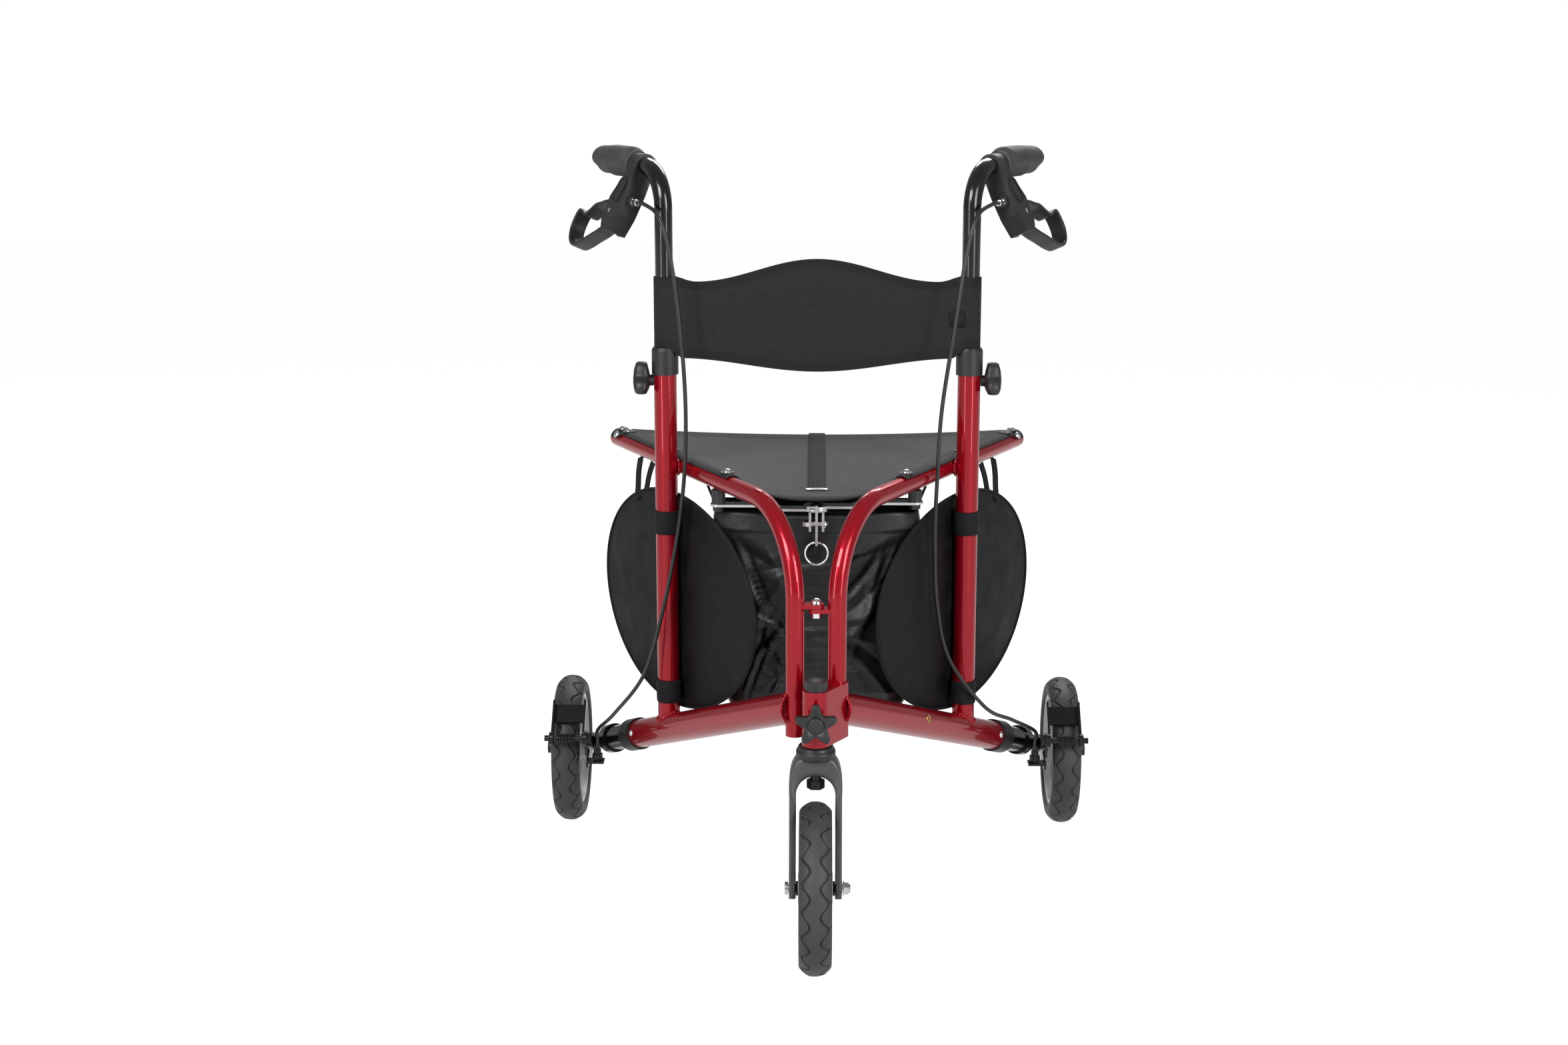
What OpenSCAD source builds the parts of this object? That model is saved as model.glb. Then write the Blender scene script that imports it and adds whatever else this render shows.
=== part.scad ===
// Three wheel rollator: a folding frame with a seat, a backrest band, a bag and loop brakes.
// The frame is two welded halves that turn about one upright hinge behind the caster stem.
// X points to the right half, Y to the rear, Z up. The origin is on the floor, midway between the axles.

/* [Wheels] */
// Outer diameter of the three wheels
wheel_d = 200; // [190:1:210]
// Width of a tyre
tyre_w = 38; // [34:1:40]
// Height of a tyre's section above the rim
tyre_h = 24; // [20:1:28]
// Distance from the front axle to the rear axles
wheelbase = 512; // [500:1:530]
// Distance between the centres of the rear wheels
track = 676; // [670:1:690]
// Diameter of an axle bolt
axle_d = 10; // [8:0.5:12]
// Outer diameter of a wheel bearing
bearing_d = 26; // [22:1:28]
// Width of a wheel bearing
bearing_w = 8; // [6:1:9]
// Length of a wheel hub
hub_w = 40; // [38:1:42]
// Number of spokes in a wheel
spokes = 5; // [3:1:7]

/* [Caster] */
// Distance from the stem to the front axle, along the floor
trail = 32; // [26:1:38]
// Outer width of the fork
fork_w = 63; // [60:1:66]
// Thickness of a fork leg
fork_leg_t = 9; // [7:0.5:9.5]
// Diameter of the stem
stem_d = 12; // [10:0.5:14]
// Outer diameter of the head round the stem
head_d = 32; // [30:1:34]
// Diameter of the head's bore, which holds the bushes
head_bore = 19; // [18:0.5:21]
// Height of the head's lower end
head_bottom = 264; // [260:1:268]
// Length of the head
head_h = 66; // [60:1:70]
// Diameter of the star knob
star_d = 50; // [44:1:54]

/* [Frame] */
// Diameter of the post and seat rail tube
rail_d = 22.2; // [20:0.1:24]
// Wall of the frame tubes
tube_wall = 2; // [1.5:0.1:2.4]
// Distance of each post from the middle
post_x = 24.5; // [23:0.5:27]
// Distance of the posts behind the stem
post_back = 35; // [34:0.5:38]
// Height of the seat rails
rail_z = 530; // [520:1:540]
// Bend radius between post and seat rail
rail_bend = 105; // [90:1:120]
// Level length of a half, from the post to the end of the seat rail
rail_len = 541; // [535:1:550]
// Angle of each seat rail away from the middle
rail_angle = 27; // [26:0.5:28]
// Diameter of the bottom tube
bottom_d = 38; // [36:0.5:40]
// Height of the bottom tube at the post
bottom_z = 298; // [295:1:300]
// Slope of the bottom tube
bottom_pitch = 19.8; // [19:0.1:20.5]
// Level length of the rear leg past the bottom tube
leg_show = 124; // [112:1:132]
// Diameter of the upright
upright_d = 28.6; // [27:0.1:30]
// Distance of the uprights behind the posts
upright_back = 269; // [262:1:275]
// Height of the upright's top
upright_top = 656; // [640:1:670]
// Diameter of the rear leg
leg_d = 33.6; // [32:0.1:35]
// Height of the upper hinge
hinge_high = 418; // [410:1:424]
// Height of the lower hinge
hinge_low = 304; // [303:1:308]
// Diameter of the hinge bolts
hinge_bolt_d = 8; // [6:0.5:9]

/* [Handles] */
// Diameter of the handle tube
handle_d = 22.2; // [20:0.1:23]
// Height of the level part of the handle tube
handle_z = 905; // [890:1:920]
// Bend radius of the handle tube
handle_bend = 50; // [44:1:50]
// Angle of each handle away from the middle
handle_angle = 28; // [24:1:32]
// Length of the handle tube inside the upright
handle_in = 170; // [150:1:200]
// Level distance from the upright to the start of the grip
grip_start = 78; // [76:1:84]
// Length of a grip
grip_len = 104; // [96:1:115]
// Diameter of a grip
grip_d = 34; // [31:1:36]
// Outward lean of the brake below the handle
brake_lean = 24; // [15:1:30]
// Length of the loop lever from its pin
lever_len = 112; // [100:1:120]
// Width of the loop lever
lever_w = 20; // [16:1:21]
// Thickness of the loop lever's band
lever_t = 5; // [4:0.5:6]
// Distance of the lever's pin below the handle
lever_drop = 66; // [62:1:70]
// Diameter of the lever's pin
lever_pin_d = 6; // [5:0.5:7]

/* [Fold lock] */
// Distance of the links' outer pivots from the middle
link_pivot_x = 121; // [116:1:126]
// Height of the underside of the lower link at its pivot
link_z = 498; // [496:1:500]
// Thickness of a link
link_t = 3; // [2.5:0.1:3.4]
// Width of a link
link_w = 20; // [18:1:22]
// Diameter of the links' round middle ends
link_eye_d = 32; // [30:1:34]
// Depth by which the middle of each link is stepped down
link_step = 5; // [4:0.5:6]
// Diameter of the link pivots
link_bolt_d = 8; // [6:0.5:9]
// Thickness of the lock blade
blade_t = 3; // [2.5:0.1:3.5]
// Height of the blade's cross bolt below the lower link's middle
lock_bolt_drop = 14; // [13:0.5:16]

/* [Soft goods] */
// Thickness of the seat cloth
seat_t = 2.2; // [1.5:0.1:3]
// Sag of the seat's front edge
seat_sag = 31; // [24:1:33]
// Height of the backrest band at its sleeves
band_h = 88; // [80:1:95]
// Rise of the backrest band in the middle
band_rise = 20; // [10:1:28]
// Height of the bag
bag_h = 232; // [215:1:236]
// Half width of the bag
bag_x = 130; // [115:1:132]
// Depth of the bag
bag_y = 120; // [100:1:130]
// Thickness of a side panel
panel_t = 9; // [6:0.5:10]
// Length of a side panel
panel_len = 401; // [380:1:410]
// Height of a side panel
panel_h = 281; // [265:1:290]
// Diameter of a brake cable
cable_d = 5; // [4:0.5:6]

/* [Fits] */
// Radial clearance of a shaft in its bore
run_gap = 0.05; // [0.03:0.01:0.09]
// Clearance between faces that pass each other
face_gap = 0.4; // [0.3:0.1:0.6]

/* [Hidden] */
$fn = 64;
hull_fn = 32;
past = 1;
red = "firebrick";
black = "#1c1c1e";
plastic = "#2b2b2d";
cloth = "#222225";
steel = "silver";

// Places that follow from the driving dimensions
wheel_r = wheel_d / 2;
front_axle_y = -wheelbase / 2;
rear_axle_y = wheelbase / 2;
stem_y = front_axle_y + trail;
post_y = stem_y + post_back;
upright_y = post_y + upright_back;
weld_gap = 0.3;
upright_x = post_x
    + (upright_back * sin(rail_angle) + (upright_d + rail_d) / 2 + weld_gap) / cos(rail_angle);
bottom_angle = atan((upright_x - post_x) / upright_back);
function on_rail(s) = [post_x + s * sin(rail_angle), post_y + s * cos(rail_angle), rail_z];
function on_bottom(s) = [
    post_x + s * sin(bottom_angle), post_y + s * cos(bottom_angle), bottom_z - s * tan(bottom_pitch)
];
bottom_dir = [
    sin(bottom_angle) * cos(bottom_pitch), cos(bottom_angle) * cos(bottom_pitch), -sin(bottom_pitch)
];

// Shapes that several pieces share
module between(a, b) {
    v = b - a;
    translate(a) rotate([0, acos(v.z / norm(v)), atan2(v.y, v.x)]) children();
}
module rod(a, b, d) {
    between(a, b) cylinder(d = d, h = norm(b - a));
}
// A flat pear: two circles joined by their outer tangents
function tangent(a, ra, b, rb, side) =
    let (v = b - a, turn = atan2(v.y, v.x) + side * acos((ra - rb) / norm(v))) [cos(turn), sin(turn)];
module pear(a, da, b, db) {
    up = tangent(a, da / 2, b, db / 2, 1);
    down = tangent(a, da / 2, b, db / 2, -1);
    translate(a) circle(d = da);
    translate(b) circle(d = db);
    polygon([a + up * da / 2, b + up * db / 2, b + down * db / 2, a + down * da / 2]);
}
// A flat outline in (y, z), drawn as a plate that starts at x and is t thick
module side_plate(x, t) {
    translate([x, 0, 0]) rotate([90, 0, 90]) linear_extrude(t) children();
}
module x_rod(x, y, z, d, h) {
    translate([x, y, z]) rotate([0, 90, 0]) cylinder(d = d, h = h);
}
module dome(d, h) {
    r = (d * d / 4 + h * h) / (2 * h);
    intersection() {
        translate([0, 0, h - r]) sphere(r = r);
        cylinder(d = d, h = h);
    }
}
module hex(d, h) {
    cylinder(d = d, h = h, $fn = 6);
}
module ring(outer, inner, h) {
    difference() {
        cylinder(d = outer, h = h);
        translate([0, 0, -past]) cylinder(d = inner, h = h + 2 * past);
    }
}
module left() {
    mirror([1, 0, 0]) children();
}
// A closed skin over two grids of points, which meet along their four edges
function grid_faces(rows, cols, first, flip) = [
    for (j = [0 : rows - 2], k = [0 : cols - 2])
        let (a = first + j * cols + k, b = a + 1, c = a + cols, d = c + 1)
            each flip ? [[a, c, b], [b, c, d]] : [[a, b, c], [b, d, c]]
];
module sheet(over, under) {
    rows = len(over);
    cols = len(over[0]);
    n = rows * cols;
    function strip(line) = [
        for (i = [0 : len(line) - 2])
            each [[line[i], line[i] + n, line[i + 1]], [line[i + 1], line[i] + n, line[i + 1] + n]]
    ];
    front = [for (k = [cols - 1 : -1 : 0]) k];
    rear = [for (k = [0 : cols - 1]) (rows - 1) * cols + k];
    near = [for (j = [0 : rows - 1]) j * cols];
    far = [for (j = [rows - 1 : -1 : 0]) j * cols + cols - 1];
    polyhedron(
        points = [for (line = under) each line, for (line = over) each line],
        faces = concat(
            grid_faces(rows, cols, 0, true), grid_faces(rows, cols, n, false),
            strip(front), strip(rear), strip(near), strip(far)
        )
    );
}
// A closed skin over rings of equally many points, with a flat end on the first and the last
module loft(rings) {
    n = len(rings[0]);
    last = (len(rings) - 1) * n;
    polyhedron(
        points = [for (r = rings) each r],
        faces = concat(
            [[for (k = [0 : n - 1]) k]],
            [[for (k = [n - 1 : -1 : 0]) last + k]],
            [
                for (i = [0 : len(rings) - 2], k = [0 : n - 1])
                    let (a = i * n + k, b = i * n + (k + 1) % n)
                        each [[a, a + n, b], [b, a + n, b + n]]
            ]
        )
    );
}

// Frame: posts with seat rails, bottom tubes, uprights and the hinge between the halves
lug_t = 5;
lug_eye_d = 18;
nut_h = 6;
nut_d = 14;
post_bottom = head_bottom;
hinge_room = 2 * (lug_t + nut_h) + 4;
hinges = [hinge_low, hinge_high];
module along_rail() {
    translate([post_x, post_y, 0]) rotate([0, 0, 90 - rail_angle]) children();
}
module rail_path(d, extra) {
    along_rail() {
        translate([0, 0, post_bottom - extra]) cylinder(d = d, h = rail_z - rail_bend - post_bottom + extra);
        translate([rail_bend, 0, rail_z - rail_bend]) rotate([90, 0, 0]) rotate([0, 0, 90])
            rotate_extrude(angle = 90) translate([rail_bend, 0]) circle(d = d);
        translate([rail_bend, 0, rail_z]) rotate([0, 90, 0]) cylinder(d = d, h = rail_len - rail_bend + extra);
    }
}
module hinge_lug(z) {
    translate([0, post_y, z]) linear_extrude(lug_t) {
        circle(d = lug_eye_d);
        translate([0, past - lug_eye_d / 2]) square([post_x, lug_eye_d - 2 * past]);
    }
}
link_pivot_s = (link_pivot_x - post_x) / sin(rail_angle);
link_pivot = on_rail(link_pivot_s);
module rail_tube(lug_shift, has_pivot) {
    difference() {
        union() {
            rail_path(rail_d, 0);
            for (z = hinges) hinge_lug(z + lug_shift);
        }
        rail_path(rail_d - 2 * tube_wall, past);
        for (z = hinges)
            translate([0, post_y, z + lug_shift - past])
                cylinder(d = hinge_bolt_d + 2 * run_gap, h = lug_t + 2 * past);
        if (has_pivot) translate(link_pivot - [0, 0, rail_d])
            cylinder(d = link_bolt_d + 2 * run_gap, h = 2 * rail_d);
    }
}
module right_rail_tube() {
    color(red) rail_tube(-lug_t - face_gap / 2, false);
}
module left_rail_tube() {
    color(red) left() rail_tube(face_gap / 2, true);
}
module hinge_bolts() {
    under = lug_t + face_gap / 2;
    over = lug_t + 1.5 * face_gap;
    color(steel) for (z = hinges) translate([0, post_y, z]) {
        translate([0, 0, -under - nut_h]) cylinder(d = hinge_bolt_d, h = under + nut_h + over);
        translate([0, 0, -under - nut_h]) hex(nut_d, nut_h);
        translate([0, 0, over]) dome(nut_d, nut_h);
    }
}
collar_len = 20;
module bottom_tube() {
    difference() {
        rod(on_bottom(0), on_bottom(bottom_len), bottom_d);
        rod(on_bottom(-past), on_bottom(bottom_len + past), bottom_d - 2 * tube_wall);
        translate([post_x, post_y, 0]) cylinder(d = rail_d + 2 * weld_gap, h = 2 * bottom_z);
    }
}
module right_bottom_tube() {
    color(red) difference() {
        bottom_tube();
        linear_extrude(2 * bottom_z)
            pear([0, stem_y], head_d + 2 * weld_gap, [post_x, post_y], clamp_d + 2 * weld_gap);
    }
}
module left_bottom_tube() {
    color(red) left() bottom_tube();
}
knob_z = upright_top - 14;
knob_screw_d = 6;
upright_bore = upright_d - 2 * tube_wall;
module upright() {
    difference() {
        translate([upright_x, upright_y, on_bottom(0).z - upright_back * tan(bottom_pitch) / cos(bottom_angle)])
            cylinder(d = upright_d, h = upright_top);
        translate([0, 0, upright_top]) cube([4 * upright_x, 4 * upright_x, 2 * upright_top], center = false);
        translate([upright_x, upright_y, 0]) cylinder(d = upright_bore, h = upright_top + past);
        rod(on_bottom(0), on_bottom(bottom_len), bottom_d + 2 * weld_gap);
        x_rod(upright_x, upright_y, knob_z, knob_screw_d + 2 * run_gap, upright_d);
    }
}
module right_upright() {
    color(red) upright();
}
module left_upright() {
    color(red) left() upright();
}

// Plastic collars: one guides the handle in the upright, one joins the bottom tube and the rear leg
cap_h = 28;
cap_skirt = 6;
cap_d = upright_d + 5;
module collars() {
    translate([upright_x, upright_y, 0]) difference() {
        union() {
            translate([0, 0, upright_top - cap_skirt]) cylinder(d = cap_d, h = cap_skirt + cap_h - 4);
            translate([0, 0, upright_top + cap_h - 4]) cylinder(d1 = cap_d, d2 = cap_d - 4, h = 4);
            translate([0, 0, upright_top - cap_skirt - 20]) cylinder(d = upright_bore, h = 20 + cap_skirt);
        }
        difference() {
            translate([0, 0, upright_top - cap_skirt - past]) cylinder(d = upright_d, h = cap_skirt + past);
            translate([0, 0, upright_top - cap_skirt - 2 * past]) cylinder(d = upright_bore, h = 2 * cap_skirt);
        }
        cylinder(d = handle_d + 2 * run_gap, h = 2 * upright_top);
        x_rod(0, 0, knob_z, knob_screw_d + 2 * run_gap, upright_d);
    }
    difference() {
        rod(on_bottom(bottom_len - collar_len), on_bottom(bottom_len + 6), bottom_d + 5);
        rod(on_bottom(bottom_len - collar_len - past), on_bottom(bottom_len), bottom_d);
        rod(on_bottom(bottom_len - past), on_bottom(bottom_len + 6 + past), leg_d);
    }
}
module right_collars() {
    color(plastic) collars();
}
module left_collars() {
    color(plastic) left() collars();
}

// Rear leg with the plate that carries the wheel and the brake
wheel_x = track / 2;
plate_t = 5;
plate_gap = 4;
plate_x = wheel_x - hub_w / 2 - plate_gap - plate_t;
leg_hit = (plate_x - post_x) / sin(bottom_angle);
bottom_len = leg_hit - leg_show;
leg_in = 80;
stub_len = 54;
leg_end = leg_hit - stub_len;
leg_place = [on_bottom(leg_hit).y, on_bottom(leg_hit).z];
leg_ring = 14;
stub_d = 22;
brake_angle = 43;
pivot_angle = 24;
pivot_out = 16;
brake_pivot = [
    rear_axle_y - (wheel_r + pivot_out) * cos(pivot_angle), wheel_r + (wheel_r + pivot_out) * sin(pivot_angle)
];
axle_boss_d = 34;
plate_front = [rear_axle_y - 50, wheel_r + 16];
module rear_leg() {
    difference() {
        union() {
            rod(on_bottom(bottom_len - leg_in), on_bottom(leg_end), leg_d);
            rod(on_bottom(leg_end - leg_ring), on_bottom(leg_end), leg_d + 6);
            intersection() {
                rod(on_bottom(leg_end - past), on_bottom(leg_hit + 2 * stub_d), stub_d);
                translate([0, 0, 0]) cube([plate_x + past, 2 * wheelbase, 2 * wheel_d]);
            }
        }
        rod(on_bottom(bottom_len - leg_in - past), on_bottom(leg_end - leg_ring), leg_d - 2 * tube_wall);
        x_rod(plate_x - past, rear_axle_y, wheel_r, axle_d + 2 * run_gap, plate_t + 2 * past);
    }
    difference() {
        side_plate(plate_x, plate_t) {
            pear([rear_axle_y, wheel_r], axle_boss_d, plate_front, 24);
            pear([rear_axle_y, wheel_r], axle_boss_d, leg_place, stub_d + 4);
        }
        x_rod(plate_x - past, rear_axle_y, wheel_r, axle_d + 2 * run_gap, plate_t + 2 * past);
    }
}
module right_rear_leg() {
    color(black) rear_leg();
}
module left_rear_leg() {
    color(black) left() rear_leg();
}
cap_end_d = 17;
cap_end_h = 13;
module bearing_pair(x, y) {
    for (side = [-1, 1])
        translate([x + side * (hub_w - bearing_w) / 2 - bearing_w / 2, y, wheel_r]) rotate([0, 90, 0])
            ring(bearing_d, axle_d + 2 * run_gap, bearing_w);
}
module wheel_axle() {
    outer = wheel_x + hub_w / 2 + face_gap;
    x_rod(plate_x, rear_axle_y, wheel_r, axle_d, outer - plate_x + past);
    translate([plate_x + plate_t, rear_axle_y, wheel_r]) rotate([0, 90, 0])
        ring(axle_d + 8, axle_d + 2 * run_gap, plate_gap);
    bearing_pair(wheel_x, rear_axle_y);
    translate([outer, rear_axle_y, wheel_r]) rotate([0, 90, 0]) {
        cylinder(d = cap_end_d, h = cap_end_h);
        cylinder(d = cap_end_d + 6, h = 2);
    }
}
module right_wheel_axle() {
    color(steel) wheel_axle();
}
module left_wheel_axle() {
    color(steel) left() wheel_axle();
}

// Wheels: a solid tyre on a spoked rim
rim_r = wheel_r - tyre_h;
rim_w = tyre_w - 6;
rim_t = 7;
hub_d = bearing_d + 10;
spoke_t = 9;
module tyre(x, y) {
    round_r = tyre_w / 2 + 3;
    translate([x, y, wheel_r]) rotate([0, 90, 0]) rotate_extrude() intersection() {
        translate([wheel_r - round_r, 0]) circle(r = round_r);
        translate([rim_r, -tyre_w / 2]) square([tyre_h + past, tyre_w]);
    }
}
module rim(x, y) {
    spoke_in = hub_d / 2 - 4;
    spoke_out = rim_r - rim_t - 2;
    seat_h = bearing_w + face_gap;
    translate([x, y, wheel_r]) rotate([0, 90, 0]) difference() {
        union() {
            rotate_extrude() {
                translate([rim_r - rim_t, -rim_w / 2]) square([rim_t, rim_w]);
                translate([rim_r - rim_t - 4, -spoke_t / 2]) square([rim_t, spoke_t]);
            }
            translate([0, 0, -hub_w / 2]) cylinder(d = hub_d, h = hub_w);
            for (i = [0 : spokes - 1]) rotate([0, 0, i * 360 / spokes])
                translate([0, 0, 1 - spoke_t / 2]) linear_extrude(spoke_t - 2)
                    polygon([[spoke_in, -8.5], [spoke_out, -10.5], [spoke_out, 10.5], [spoke_in, 8.5]]);
        }
        translate([0, 0, -hub_w]) cylinder(d = bearing_d - 6, h = 2 * hub_w);
        translate([0, 0, hub_w / 2 - seat_h]) cylinder(d = bearing_d + 2 * run_gap, h = seat_h + past);
        translate([0, 0, -hub_w / 2 - past]) cylinder(d = bearing_d + 2 * run_gap, h = seat_h + past);
    }
}
module front_tyre() {
    color(black) tyre(0, front_axle_y);
}
module front_rim() {
    color("gainsboro") rim(0, front_axle_y);
}
module right_tyre() {
    color(black) tyre(wheel_x, rear_axle_y);
}
module right_rim() {
    color("gainsboro") rim(wheel_x, rear_axle_y);
}
module left_tyre() {
    color(black) left() tyre(wheel_x, rear_axle_y);
}
module left_rim() {
    color("gainsboro") left() rim(wheel_x, rear_axle_y);
}

// Head, caster stem and fork
clamp_d = rail_d + 5;
bush_flange = 2;
bush_h = 14;
head_top = head_bottom + head_h;
star_z = head_bottom + 31;
star_screw_d = 8;
module head_tube() {
    color(red) difference() {
        translate([0, 0, head_bottom]) linear_extrude(head_h)
            pear([0, stem_y], head_d, [post_x, post_y], clamp_d);
        translate([0, stem_y, 0]) cylinder(d = head_bore, h = 2 * head_top);
        translate([post_x, post_y, 0]) cylinder(d = rail_d + 2 * run_gap, h = 2 * head_top);
        translate([0, stem_y, star_z]) rotate([90, 0, 0]) cylinder(d = star_screw_d + 2 * run_gap, h = head_d);
        translate([-post_x, post_y, 0]) cylinder(d = rail_d + 2 * face_gap, h = 2 * head_top);
        translate([0, post_y, hinge_low - hinge_room / 2])
            cylinder(d = lug_eye_d + 4 * face_gap, h = hinge_room);
        translate([0, post_y - lug_eye_d / 2 - face_gap, hinge_low - hinge_room / 2])
            cube([post_x, lug_eye_d + 2 * face_gap, hinge_room]);
    }
}
module stem_bushes() {
    color("dimgray") translate([0, stem_y, 0]) difference() {
        union() {
            for (z = [head_bottom, head_top - bush_h]) translate([0, 0, z]) cylinder(d = head_bore, h = bush_h);
            for (z = [head_bottom - bush_flange, head_top])
                translate([0, 0, z]) cylinder(d = head_bore + 4, h = bush_flange);
        }
        cylinder(d = stem_d + 2 * run_gap, h = 2 * head_top);
    }
}
stem_head_h = 6;
stem_cap_d = head_bore + 7.5;
stem_cap_h = bush_flange + stem_head_h + 6;
module stem_cap() {
    color(plastic) translate([0, stem_y, head_top]) difference() {
        union() {
            cylinder(d = stem_cap_d, h = stem_cap_h - 3);
            translate([0, 0, stem_cap_h - 3]) dome(stem_cap_d, 3);
        }
        translate([0, 0, -past]) cylinder(d = head_bore + 4.6, h = bush_flange + stem_head_h + 2 + past);
    }
}
crown_top = head_bottom - bush_flange - face_gap;
crown_bottom = crown_top - 40;
collar_d = 46;
collar_h = 9;
shoulder_r = 15;
crown_depth = 34;
// The fork's crown from the front: rounded shoulders over a round arch
module crown_outline() {
    top = crown_top - collar_h;
    arch_r = fork_w / 2 - fork_leg_t + 0.6;
    arch_z = crown_bottom - 1 - arch_r;
    half = fork_w / 2;
    difference() {
        union() {
            translate([-half, arch_z]) square([fork_w, top - shoulder_r - arch_z]);
            translate([shoulder_r - half, arch_z]) square([fork_w - 2 * shoulder_r, top - arch_z]);
            for (side = [-1, 1]) translate([side * (half - shoulder_r), top - shoulder_r]) circle(r = shoulder_r);
        }
        translate([0, arch_z]) circle(r = arch_r);
    }
}
module fork() {
    inner = fork_w / 2 - fork_leg_t;
    leg_t = fork_leg_t - 0.8;
    color(plastic) difference() {
        union() {
            translate([0, stem_y + crown_depth / 2, 0]) rotate([90, 0, 0])
                linear_extrude(crown_depth) crown_outline();
            translate([0, stem_y, crown_top - collar_h - 2]) cylinder(d = collar_d, h = collar_h - 2);
            translate([0, stem_y, crown_top - collar_h]) cylinder(d = collar_d - 5, h = collar_h);
            for (side = [-1, 1]) side_plate(side > 0 ? inner : -inner - leg_t, leg_t)
                pear([stem_y, crown_bottom + 6], crown_depth - 2, [front_axle_y, wheel_r], 25);
        }
        translate([0, stem_y, 0]) cylinder(d = stem_d, h = 2 * head_bottom);
        translate([0, stem_y, wheel_r]) cylinder(d = stem_d + 12, h = crown_bottom - wheel_r);
        x_rod(-fork_w, front_axle_y, wheel_r, axle_d, 2 * fork_w);
    }
}
module stem_bolt() {
    color(black) translate([0, stem_y, 0]) {
        translate([0, 0, crown_bottom - nut_h - 4])
            cylinder(d = stem_d, h = head_top + bush_flange + past - crown_bottom + nut_h + 4);
        translate([0, 0, head_top + bush_flange + face_gap / 2]) cylinder(d = stem_d + 6, h = stem_head_h);
        translate([0, 0, crown_bottom - nut_h - 4]) hex(stem_d + 9, nut_h + 4);
    }
}
module front_axle() {
    reach = fork_w / 2;
    gap = reach - fork_leg_t - hub_w / 2;
    color(steel) {
        x_rod(-reach - 3, front_axle_y, wheel_r, axle_d, 2 * reach + 12);
        for (side = [-1, 1]) translate([side * (reach - fork_leg_t) - (side > 0 ? gap : 0), front_axle_y, wheel_r])
            rotate([0, 90, 0]) ring(axle_d + 7, axle_d + 2 * run_gap, gap);
        bearing_pair(0, front_axle_y);
        translate([-reach - 4, front_axle_y, wheel_r]) rotate([0, 90, 0]) cylinder(d = 15, h = 4);
        translate([reach, front_axle_y, wheel_r]) rotate([0, 90, 0]) {
            cylinder(d = 17, h = 1.5);
            hex(15, 7);
        }
    }
}
module star_knob() {
    body_h = 14;
    color(plastic) translate([0, stem_y - head_d / 2 - face_gap, star_z]) rotate([90, 0, 0]) {
        translate([0, 0, -head_d / 2 + stem_d / 2]) cylinder(d = star_screw_d, h = head_d / 2 - stem_d / 2 + past);
        cylinder(d = star_d * 0.34, h = 6);
        translate([0, 0, 4]) linear_extrude(body_h - 4) for (i = [0 : 4]) rotate(90 + 72 * i)
            pear([0, 0], star_d * 0.42, [star_d * 0.415, 0], star_d * 0.17);
        translate([0, 0, body_h - 1]) cylinder(d = star_d * 0.36, h = 2);
    }
}

// Handles: tube, grip, brake housing and loop lever, in a frame whose X runs along the grip
sleeve_top = upright_top + cap_h + band_h;
module at_handle() {
    translate([upright_x, upright_y, handle_z]) rotate([0, 0, 90 - handle_angle]) children();
}
module at_brake() {
    at_handle() rotate([-brake_lean, 0, 0]) children();
}
tube_end = grip_start + grip_len - 6;
module handle_path(d, extra) {
    low = upright_top - handle_in - extra;
    at_handle() {
        translate([0, 0, low - handle_z]) cylinder(d = d, h = handle_z - handle_bend - low);
        translate([handle_bend, 0, -handle_bend]) rotate([90, 0, 0]) rotate([0, 0, 90])
            rotate_extrude(angle = 90) translate([handle_bend, 0]) circle(d = d);
        translate([handle_bend, 0, 0]) rotate([0, 90, 0]) cylinder(d = d, h = tube_end - handle_bend + extra);
    }
}
module handle_tube() {
    difference() {
        handle_path(handle_d, 0);
        handle_path(handle_d - 3.2, past);
    }
}
module right_handle_tube() {
    color(black) handle_tube();
}
module left_handle_tube() {
    color(black) left() handle_tube();
}
ribs = 5;
module grip() {
    flange = 4;
    rib_len = grip_len * 0.62;
    at_handle() translate([grip_start, 0, 0]) difference() {
        union() {
            rotate([0, 90, 0]) rotate_extrude() polygon([
                [0, 0], [grip_d / 2 + 1, 0], [grip_d / 2 + 1, flange], [grip_d / 2 - 1.5, flange],
                for (i = [0 : ribs - 1], part = [0 : 3])
                    let (z = flange + 1 + (i + part / 4) * rib_len / ribs)
                        [grip_d / 2 - 1.5 + (part == 1 || part == 2 ? 1.5 : 0), z],
                [grip_d / 2 - 1, flange + rib_len + 3], [grip_d / 2 + 1.5, grip_len - 12],
                [grip_d / 2 - 1, grip_len - 3], [grip_d / 2 - 5, grip_len], [0, grip_len]
            ]);
            hull() {
                translate([flange + 12, 0, grip_d / 2 - 8]) sphere(d = 16, $fn = hull_fn);
                for (side = [-1, 1])
                    translate([grip_len - 18, side * 9, grip_d / 2 - 6]) sphere(d = 20, $fn = hull_fn);
            }
        }
        translate([-past, 0, 0]) rotate([0, 90, 0]) cylinder(d = handle_d + 2 * run_gap, h = tube_end - grip_start + past);
    }
}
module right_grip() {
    color(plastic) grip();
}
module left_grip() {
    color(plastic) left() grip();
}
strap_x = grip_start - 26;
lever_pin = [grip_start + 2, -lever_drop];
cheek_t = 3;
housing_w = lever_w + 2 * face_gap + 2 * cheek_t;
adjuster_z = -48;
adjuster_x = strap_x - 2;
module flat_xz(y, t) {
    translate([0, y + t, 0]) rotate([90, 0, 0]) linear_extrude(t) children();
}
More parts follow.
